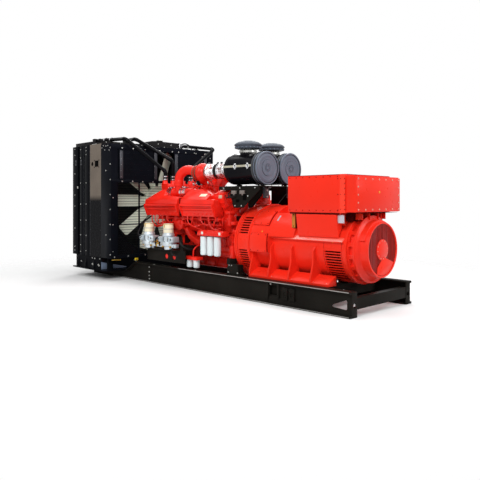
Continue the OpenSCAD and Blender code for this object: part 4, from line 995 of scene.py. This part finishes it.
def stand_for_filters(made):
    """Hides the plain filter solids that the built pieces stand for."""
    for name in ("oil_filter_head", "oil_filter_cans", "oil_filter_seals", "oil_filter_head_caps"):
        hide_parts("oil_filters")
    for name in ("bypass_filter_cans", "bypass_filter_head", "bypass_filter_arm"):
        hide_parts("bypass_filters")
    for name in ("fuel_filter_cans", "fuel_manifold", "fuel_manifold_bolts", "fuel_manifold_ports",
                 "fuel_manifold_fittings", "fuel_manifold_hoses"):
        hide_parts("fuel_filters")


def bare_plates():
    bag = Bag("bare_plate_rear_cover", "stain_plate", 0.001)
    out, across = bank_axes(-1)
    facing = turned(bank_point(-1, 0.462, 0.8305, 0.1125), out * 0.625 + across * 0.781)
    bag.box((-0.036, -0.024, 0), (0.036, 0.024, 0.003), facing)
    bag.box((-0.012, -0.01, 0.003), (0.012, 0.01, 0.0035), facing)
    bag = Bag("bare_plate_front_cover", "cream", 0.001)
    facing = turned(Vector((0.14, -0.565, 1.4348)), (0, -0.6386, 0.7696))
    bag.box((-0.075, -0.03, 0), (0.075, 0.03, 0.003), facing)


def mount_details():
    bag = Bag("mount_bolts", "zinc")
    bag.bolts(both(grid((0.72, 0.91), 0.585, 0.324)), UP, 0.016, 0.014)
    bag.side_bolts(0.596, grid((0.74, 0.79), 0.43), 0.009, 0.0035, False)


# pieces of the air cleaners
def cleaner_details():
    seam = Bag("cleaner_side_seams_and_reflection", "seam", 0.002)
    latch = Bag("cleaner_latches", "chrome", 0.002)
    cover = Bag("cleaner_end_covers", "cover")
    side = Bag("cleaner_cover_sides", "post")
    rings = Bag("cleaner_cover_rings", "cover")
    neck = Bag("cleaner_neck_clamps", "zinc")
    face = 1.178
    dish = [(0.001, 0.0015), (0.026, 0.0015), (0.03, -0.0065), (0.058, -0.0065), (0.062, 0.0005),
            (0.112, 0.0005), (0.117, -0.0065), (0.163, -0.0065), (0.166, -0.003), (0.2, -0.003),
            (0.206, -0.007), (0.2125, -0.007), (0.216, 0.0015), (0.2335, 0.0015), (0.2395, -0.005),
            (0.2395, -0.019), (0.2335, -0.023), (0.229, -0.0235)]
    rim = [(0.2295, -0.024), (0.2335, -0.024), (0.2335, -0.073), (0.2405, -0.0765), (0.2405, -0.107),
           (0.2295, -0.112)]
    z0 = AIR_Z + 0.022
    side_y = CLEANER_Y + 0.23
    # the cream band is a seam, and its pale colour is partly a painted reflection
    seam.side_box(0.49, 1.068, side_y - 0.0035, side_y + 0.002, z0 - 0.006, z0 + 0.024)
    for x in (0.747, 1.0):
        latch.side_box(x - 0.034, x + 0.03, side_y, side_y + 0.008, z0 - 0.014, z0 + 0.03)
        latch.side_box(x - 0.016, x + 0.014, side_y, side_y + 0.008, z0 - 0.034, z0 + 0.05)
        latch.side_box(x - 0.008, x + 0.006, side_y + 0.006, side_y + 0.016, z0 - 0.03, z0 + 0.01)
    for s in SIDES:
        y = s * CLEANER_Y
        cover.lathe(dish, (face, y, AIR_Z), REAR, 96)
        side.lathe(rim, (face, y, AIR_Z), REAR, 96)
        rings.ring((face - 0.066, y, AIR_Z), REAR, 0.2335, 0.2365, 0.012)
        rings.ring((face + 0.0005, y, AIR_Z), REAR, 0.038, 0.044, 0.003)
        for turn in turns(3, 0.5):
            at = (face + 0.0005, y + 0.087 * math.cos(turn), AIR_Z + 0.087 * math.sin(turn))
            rings.bolt(at, REAR, 0.009, 0.004, False)
        for turn in turns(6, math.tau / 12):
            at = (face - 0.05, y + 0.2335 * math.cos(turn), AIR_Z + 0.2335 * math.sin(turn))
            rings.bolt(at, (0, math.cos(turn), math.sin(turn)), 0.008, 0.005, False)
        upright_bars(neck, y, 0.119, 28, 0.003, 2.047, 2.104)
        neck.ring((CLEANER_X, y, AIR_Z + 0.238), UP, 0.1262, 0.1285, 0.026)
        neck.box((0.77, y - 0.15, AIR_Z + 0.24), (0.8, y - 0.12, AIR_Z + 0.262))
    louvres = Bag("rain_cap_louvres", "cap")
    windows = Bag("rain_cap_windows", "cover")
    for s in SIDES:
        upright_bars(louvres, s * CLEANER_Y, 0.187, 40, 0.003, AIR_Z + 0.297, AIR_Z + 0.341)
        upright_bars(windows, s * CLEANER_Y, 0.1865, 20, 0.009, AIR_Z + 0.303, AIR_Z + 0.319)
    bag = Bag("cleaner_bracket_bolts", "zinc")
    bag.bolts(both(grid(1.164, CLEANER_Y, (1.41, 1.5))), REAR, 0.01, 0.008)
    top = ((0.52, 0.44), (0.72, 0.44), (0.93, 0.2), (0.93, 0.44), (1.2, 0.44), (1.2, 0.2), (1.2, 0.05))
    bag.bolts(both([(x, y, 1.564) for x, y in top]), UP, 0.008, 0.009)
    outer = ((0.5, 1.535), (0.84, 1.535), (1.14, 1.535), (0.74, 1.28), (0.87, 1.28), (1.0, 1.42))
    bag.side_bolts(0.48, outer, 0.0075, 0.007)
    bag = Bag("bracket_sensor_blocks", "sensor", 0.004)
    for x in (0.69, 0.86):
        bag.box((x, -0.51, 1.45), (x + 0.09, -0.4805, 1.5))
        bag.disc(0.012, 0.02, (x + 0.045, -0.495, 1.43), UP, 16)
    bag = Bag("bracket_cables", "rubber")
    for x in (0.52, 0.57, 0.62):
        path = [(x, -0.36, 1.5), (x - 0.02, -0.44, 1.46), (x + 0.05, -0.5, 1.38), (x + 0.16, -0.5, 1.43)]
        bag.hose(path, 0.05, 0.008, 10)
    bag = Bag("bracket_post_covers", "post", 0.004)
    for s in SIDES:
        bag.box((1.1225, s * CLEANER_Y - 0.046, 1.392), (1.1655, s * CLEANER_Y + 0.042, 1.5515))
    bag = Bag("bracket_slot_shadows", "dark")
    for x0, x1, z0, z1 in ((0.76, 0.83, 1.33, 1.37), (0.9, 0.97, 1.36, 1.47), (0.66, 0.7, 1.38, 1.46)):
        bag.side_box(x0, x1, 0.4795, 0.4815, z0, z1)


# pieces of the alternator
def alternator_plates():
    bag = Bag("alternator_cover_plates", "alternator", 0.0015)
    seam = Bag("cover_plate_seams", "line_red")
    screws = Bag("cover_plate_screws", "line_red")
    plates = ((1.12, 1.405, 29.5, 56, 0.5655), (1.115, 1.42, -9.5, 16.8, 0.5645))
    for s, (x0, x1, a0, a1, r) in product(SIDES, plates):
        arc_plate(bag, x0, x1, a0, a1, 0.538, r, s)
        arc_plate(seam, x0 - 0.0035, x1 + 0.0035, a0 - 0.4, a1 + 0.4, 0.54, 0.5515, s)
        for x, a in grid((x0 + 0.018, (x0 + x1) / 2, x1 - 0.018), (a0 + 2, a1 - 2)):
            screws.bolt(*about_crank(x, r - 0.0005, math.radians(a), s), 0.008, 0.0025, False)
    bag = Bag("bare_badge_plate", "plate", 0.001)
    arc_plate(bag, 1.488, 1.51, 39, 49.5, 0.522, 0.5305)
    bag = Bag("orange_plugs", "orange")
    for x, a, r in ((1.316, 19.7, 0.548), (2.42, 12.5, 0.44)):
        bag.lathe([(0.011, 0), (0.011, 0.004), (0.007, 0.006)], *about_crank(x, r, math.radians(a), -1), 20)
    bag.disc(0.016, 0.004, (BOX_END_X, 0.0, 1.46), REAR, 20)
    bag = Bag("alternator_seams", "line_red")
    seams = ((2.2865, 2.2905, -64, 13, 0.437, 0.4415, 32), (2.5515, 2.5545, -64, 13, 0.437, 0.4415, 32),
             (1.4285, 1.4325, -12, 6, 0.538, 0.541, 12), (0.8565, 0.8595, -60, 60, 0.545, 0.5492, 48))
    for s, (x0, x1, a0, a1, low, high, n) in product(SIDES, seams):
        arc_plate(bag, x0, x1, a0, a1, low, high, s, n)
    # a lighter red strip on the sloped ledge is a painted highlight
    bag = Bag("alternator_ledge_painted_highlights", "ledge")
    ledge = ((0.4715, 0.8525), (0.4735, 0.8545), (0.4265, 0.9025), (0.4245, 0.9005))
    for s in SIDES:
        prism_x(bag, [(s * y, z) for y, z in ledge], 1.272, 2.588)


def drum_louvres():
    """Thin strips of painted shade in the slots of the adaptor drum and of the barrel."""
    dark = Bag("louvre_shadows", "shade_red")
    slots = ((0.408, 8, 0.874, 1.048, DRUM_R - 0.038), (0.893, 7, 0.874, 1.048, DRUM_R - 0.038),
             (0.372, 11, 2.302, 2.538, 0.4075))
    for start, count, x0, x1, r in slots:
        for i in range(count):
            z = start + i * 0.034 + 0.003
            half = math.sqrt(r ** 2 - (z - CRANK_Z) ** 2)
            dark.side_box(x0, x1, half, half + 0.004, z - 0.002, z + 0.019)
    bag = Bag("louvre_frame_screws", "alternator")
    for row, angles, r in (((0.868, 1.054), (-36, -24, -10, 17, 28, 38), DRUM_R - 0.001),
                           ((2.29, 2.552), (-52, -40, -28, -14, 0), 0.439)):
        for s, x, a in product(SIDES, row, angles):
            bag.bolt(*about_crank(x, r, math.radians(a), s), 0.008, 0.006, False)
    bag = Bag("adaptor_flange_bolts", "alternator")
    bag.bolts(crank_circle(0.8, 0.537, 24), (-1, 0, 0), 0.012, 0.0095)
    bag.bolts(crank_circle(2.62, 0.437, 24), REAR, 0.009, 0.006, False)


def cowl_mesh():
    bag = Bag("cowl_mesh_bars", "line_red")
    rim = 0.3215
    x0, x1 = 2.8365, 2.8475
    for i in range(-9, 10):
        y = i * 0.034
        half = math.sqrt(rim * rim - y * y)
        bag.box((x0, y - 0.0042, CRANK_Z - half), (x1, y + 0.0042, CRANK_Z + half))
    bag = Bag("cowl_inner_shade", "gap_shade")
    bag.disc(0.321, 0.003, (2.8005, 0, CRANK_Z), REAR, 64)
    bag = Bag("cowl_lower_shield", "alternator", 0.001)
    start, end = math.atan2(-0.29, -0.12), math.atan2(-0.17, 0.265)
    arc = [start + (end - start) * i / 24 for i in range(25)]
    outline = [(0.025, -0.089), (-0.113, -0.214)]
    outline += [(0.3155 * math.cos(a), 0.3155 * math.sin(a)) for a in arc]
    prism_x(bag, [(y, CRANK_Z + z) for y, z in outline], 2.8485, 2.8545)
    bag = Bag("cowl_screws", "pale_screw")
    bag.bolts(crank_circle(2.854, 0.112, 12, 0.13), REAR, 0.006, 0.004, False)
    bag.bolts(crank_circle(2.8565, 0.331, 14, 0.2), REAR, 0.007, 0.003, False)
    bag = Bag("ring_window_shade", "shade_red")
    for s, a in product(SIDES, (-42, -21, 0, 21, 42)):
        arc_plate(bag, 2.638, 2.692, a - 5.6, a + 5.6, 0.362, 0.3665, s, 4)


def box_screws():
    bag = Bag("box_cover_screws", "line_red")
    side_y = 0.5
    frame_y = side_y + 0.0078
    columns = [1.79 + i * 0.107 for i in range(8)]
    bag.side_bolts(side_y - 0.001, grid(columns, (1.232, 1.648)), 0.007, 0.004, False)
    bag.side_bolts(side_y - 0.001, grid(2.545, (1.24, 1.43, 1.62)), 0.007, 0.004, False)
    bag.side_bolts(frame_y, grid(2.648, (1.25, 1.3, 1.36, 1.43, 1.5, 1.56, 1.62)), 0.0075, 0.001, False)
    bag.side_bolts(frame_y, grid(2.59, (1.25, 1.43, 1.62)), 0.006, 0.001, False)
    # a lighter red strip on the box joint is a painted highlight
    bag = Bag("box_joint_strips", "highlight_red")
    bag.side_box(2.5775, 2.653, 0.5065, 0.5082, 1.207, 1.673)
    bag = Bag("box_end_screws", "pale_screw")
    bag.bolts(grid(BOX_END_X, [-0.46 + i * 0.1533 for i in range(7)], (1.245, 1.616)), REAR, 0.0085, 0.005)
    heights = [1.235 + i * 0.095 for i in range(1, 4)]
    bag.bolts(grid(BOX_END_X, (-0.465, 0.465), heights), REAR, 0.0085, 0.005)
    bag = Bag("box_lower_shadow_gap", "shade_red")
    bag.side_box(1.78, 2.56, 0.486, 0.4868, 1.184, 1.2045)
    bag = Bag("box_lid_seams", "line_red")
    bag.side_box(1.76, 2.565, 0.4945, 0.4962, 1.6675, 1.6752)
    bag.box((2.6555, -0.48, 1.6675), (2.6575, 0.48, 1.6752))


def under_box():
    bag = Bag("box_support_webs", "alternator", 0.002)
    dark = Bag("box_underside_shade", "shade_red")
    for y in (-0.26, -0.1, 0.1, 0.26):
        bag.box((2.64, y - 0.005, 1.12), (2.74, y + 0.005, 1.2045))
    prism_x(dark, [(-0.32, 1.1), (-0.32, 1.2045), (0.37, 1.2045), (0.37, 1.1)], 2.62, 2.63)
    dark.side_box(2.53, 2.63, 0.32, 0.325, 1.1, 1.2045)
    dark.box((2.54, -0.47, 1.2025), (2.79, 0.47, 1.2046))
    # the gland box is painted in the darker shade red, as painted shade under the terminal box
    bag = Bag("gland_box", "shade_red", 0.002)
    bag.box((1.76, -0.422, 0.99), (1.836, -0.39, 1.2045))
    bag = Bag("gland_plate", "brown", 0.002)
    bag.box((1.767, -0.43, 1.0), (1.82, -0.4225, 1.192))
    bag = Bag("gland_plate_screws", "dark")
    bag.bolts(grid(1.793, -0.43, (1.02, 1.17)), NEAR, 0.007, 0.005, False)
    bag = Bag("bare_name_plate", "plate", 0.001)
    bag.box((2.5165, -0.465, 1.082), (2.612, -0.461, 1.182))
    bag = Bag("name_plate_tabs", "alternator", 0.001)
    bag.box((2.5205, -0.461, 1.1), (2.535, -0.36, 1.112))
    bag.box((2.5205, -0.461, 1.15), (2.535, -0.36, 1.162))
    bag.bolts(grid((2.523, 2.605), -0.465, (1.089, 1.175)), NEAR, 0.004, 0.002, False)


def skid_details():
    bag = Bag("skid_splice_plates_and_pocket_shade", "skid", 0.001)
    bag.side_box(-1.165, -1.075, 0.6595, 0.665, 0.022, 0.278)
    bag.side_box(1.52, 1.556, 0.6595, 0.665, 0.022, 0.278)
    # a black plate closing the back of the rail pocket is painted shade in it
    bag.side_box(1.535, 1.75, 0.6, 0.606, 0.1, 0.27)
    for x in (1.857, 1.974):
        for s in SIDES:
            bag.ring((x, s * 0.683, 0.16), (0, s, 0), 0.028, 0.037, 0.005)
        bag.side_box(x - 0.03, x + 0.03, 0.64, 0.645, 0.13, 0.19)
    # pale grey strips along the skid flange edges are painted highlights
    bag = Bag("skid_edge_highlights", "edge_highlight")
    edge = -SKID_LOW[1]
    for x0, z in ((-0.3, SKID_HIGH[2] - 0.0076), (-2.2, SKID_LOW[2] + 0.008)):
        bag.side_box(x0, SKID_HIGH[0] - 0.02, edge - 0.003, edge + 0.0004, z, z + 0.008)
    bag = Bag("skid_bolts", "zinc")
    bag.side_bolts(0.665, grid(-1.12, (0.05, 0.105, 0.165, 0.245)), 0.009, 0.009)
    bag.side_bolts(0.665, [(1.6, 0.262)], 0.01, 0.009)
    bag.bolts(both(grid((-0.95, 0.1, 1.2), 0.69, 0.3)), UP, 0.009, 0.008)
    bag.bolts(both(grid((1.15, 1.5, 1.85, 2.2, 2.4), 0.525, 0.328)), UP, 0.013, 0.012)
    bag.bolts(both(grid((2.29, 2.37), (0.3, 0.4), 0.3)), UP, 0.01, 0.009)
    for y, z in ((-0.52, 0.28), (-0.48, 0.24), (-0.5, 0.2), (-0.45, 0.27)):
        bag.disc(0.01, 0.012, (2.6, y, z), (0, -1, 0.4), 12)
    bag = Bag("drain_stub", "zinc")
    for x, z in ((-1.62, 0.325), (-1.58, 0.31)):
        bag.disc(0.01, 0.05, (x, -0.64, z), REAR, 12)
    bag = Bag("drain_hose", "brass")
    bag.hose([(-1.745, -1.0, 0.335), (-1.69, -0.98, 0.345), (-1.62, -0.9, 0.345)], 0.03, 0.011, 10)
    bag = Bag("drain_cock_handle", "yellow", 0.002)
    bag.box((-1.565, -0.66, 0.322), (-1.545, -0.6, 0.36))
    bag.disc(0.02, 0.02, (-1.555, -0.63, 0.345), NEAR, 16)


def camera():
    cam = bpy.data.cameras.new("camera")
    obj = add_object("camera", cam)
    frame_px = 480
    focal_px = 549.13
    centre_px = (231.3, 200.2)
    cam.lens = cam.sensor_width * focal_px / frame_px
    cam.shift_x = (frame_px / 2 - centre_px[0]) / frame_px
    cam.shift_y = (centre_px[1] - frame_px / 2) / frame_px
    obj.location = (6.4457, -6.0219, 1.3603)
    obj.rotation_euler = (math.pi / 2, 0, math.radians(46.22))
    bpy.context.scene.camera = obj


def area_light(name, at, aim, size, power):
    lamp = bpy.data.lights.new(name, "AREA")
    lamp.shape = "RECTANGLE"
    lamp.size, lamp.size_y = size
    lamp.energy = power
    obj = add_object(name, lamp)
    obj.location = at
    obj.rotation_mode = "QUATERNION"
    obj.rotation_quaternion = (Vector(aim) - Vector(at)).to_track_quat("-Z", "Y")


def studio():
    bpy.context.scene.view_settings.view_transform = "Standard"
    world = bpy.data.worlds.new("studio")
    bpy.context.scene.world = world
    world.use_nodes = True
    tree = world.node_tree
    back = tree.nodes["Background"]
    back.inputs["Color"].default_value = (1, 1, 1, 1)
    light_path = tree.nodes.new("ShaderNodeLightPath")
    seen = light_path.outputs["Is Camera Ray"]
    for ray in ("Is Glossy Ray", "Is Transmission Ray"):
        either = tree.nodes.new("ShaderNodeMath")
        either.operation = "MAXIMUM"
        tree.links.new(seen, either.inputs[0])
        tree.links.new(light_path.outputs[ray], either.inputs[1])
        seen = either.outputs[0]
    mix = tree.nodes.new("ShaderNodeMapRange")
    mix.inputs["To Min"].default_value = 0.26
    mix.inputs["To Max"].default_value = 1.0
    tree.links.new(seen, mix.inputs["Value"])
    tree.links.new(mix.outputs["Result"], back.inputs["Strength"])
    area_light("key", (4.5, -7.5, 6.5), (0, 0, 1.0), (5, 4), 590)
    area_light("end_fill", (8.5, 2.0, 4.5), (0, 0, 1.0), (4, 4), 290)
    area_light("top", (-0.5, 0.5, 7.5), (0, 0, 0), (8, 5), 420)
    area_light("far_fill", (-6, 6, 5), (0, 0, 1.0), (5, 4), 260)
    size = 9
    ring = [(size * math.cos(turn), size * math.sin(turn), 0) for turn in turns(64)]
    mesh = bpy.data.meshes.new("floor")
    mesh.from_pydata(ring, [], [tuple(range(len(ring)))])
    floor = add_object("floor", mesh)
    s = Shader("pale_floor")
    s.colour(s.ramp(s.noise(0.4), 0.3, 0.7, srgb(248, 248, 248), srgb(252, 252, 252)))
    s.set(Roughness=0.9, Specular_IOR_Level=0.1)
    far = s.node("VectorMath")
    far.operation = "LENGTH"
    s.link(s.coord, far.inputs[0])
    fade = s.mapped(far.outputs["Value"], True, From_Min=2.4, From_Max=6.5, To_Min=1.0, To_Max=0.0)
    s.link(fade, s.bsdf.inputs["Alpha"])
    mesh.materials.append(s.mat)


camera()
studio()
dress_nodes()
radiator_bolts()
base_plates()
shroud_panels()
guard_details()
core_rows()
header_details()
pipe_joints()
engine_clamps()
housing_bolts()
head_and_cover_bolts()
engine_side()
fuel_lines()
valley_lines()
oil_filter_set()
bypass_filter_set()
fuel_filter_set()
bracket_plugs()
bare_plates()
mount_details()
cleaner_details()
alternator_plates()
drum_louvres()
cowl_mesh()
box_screws()
under_box()
skid_details()
stand_for_filters({bag.name: bag.make() for bag in BAGS})
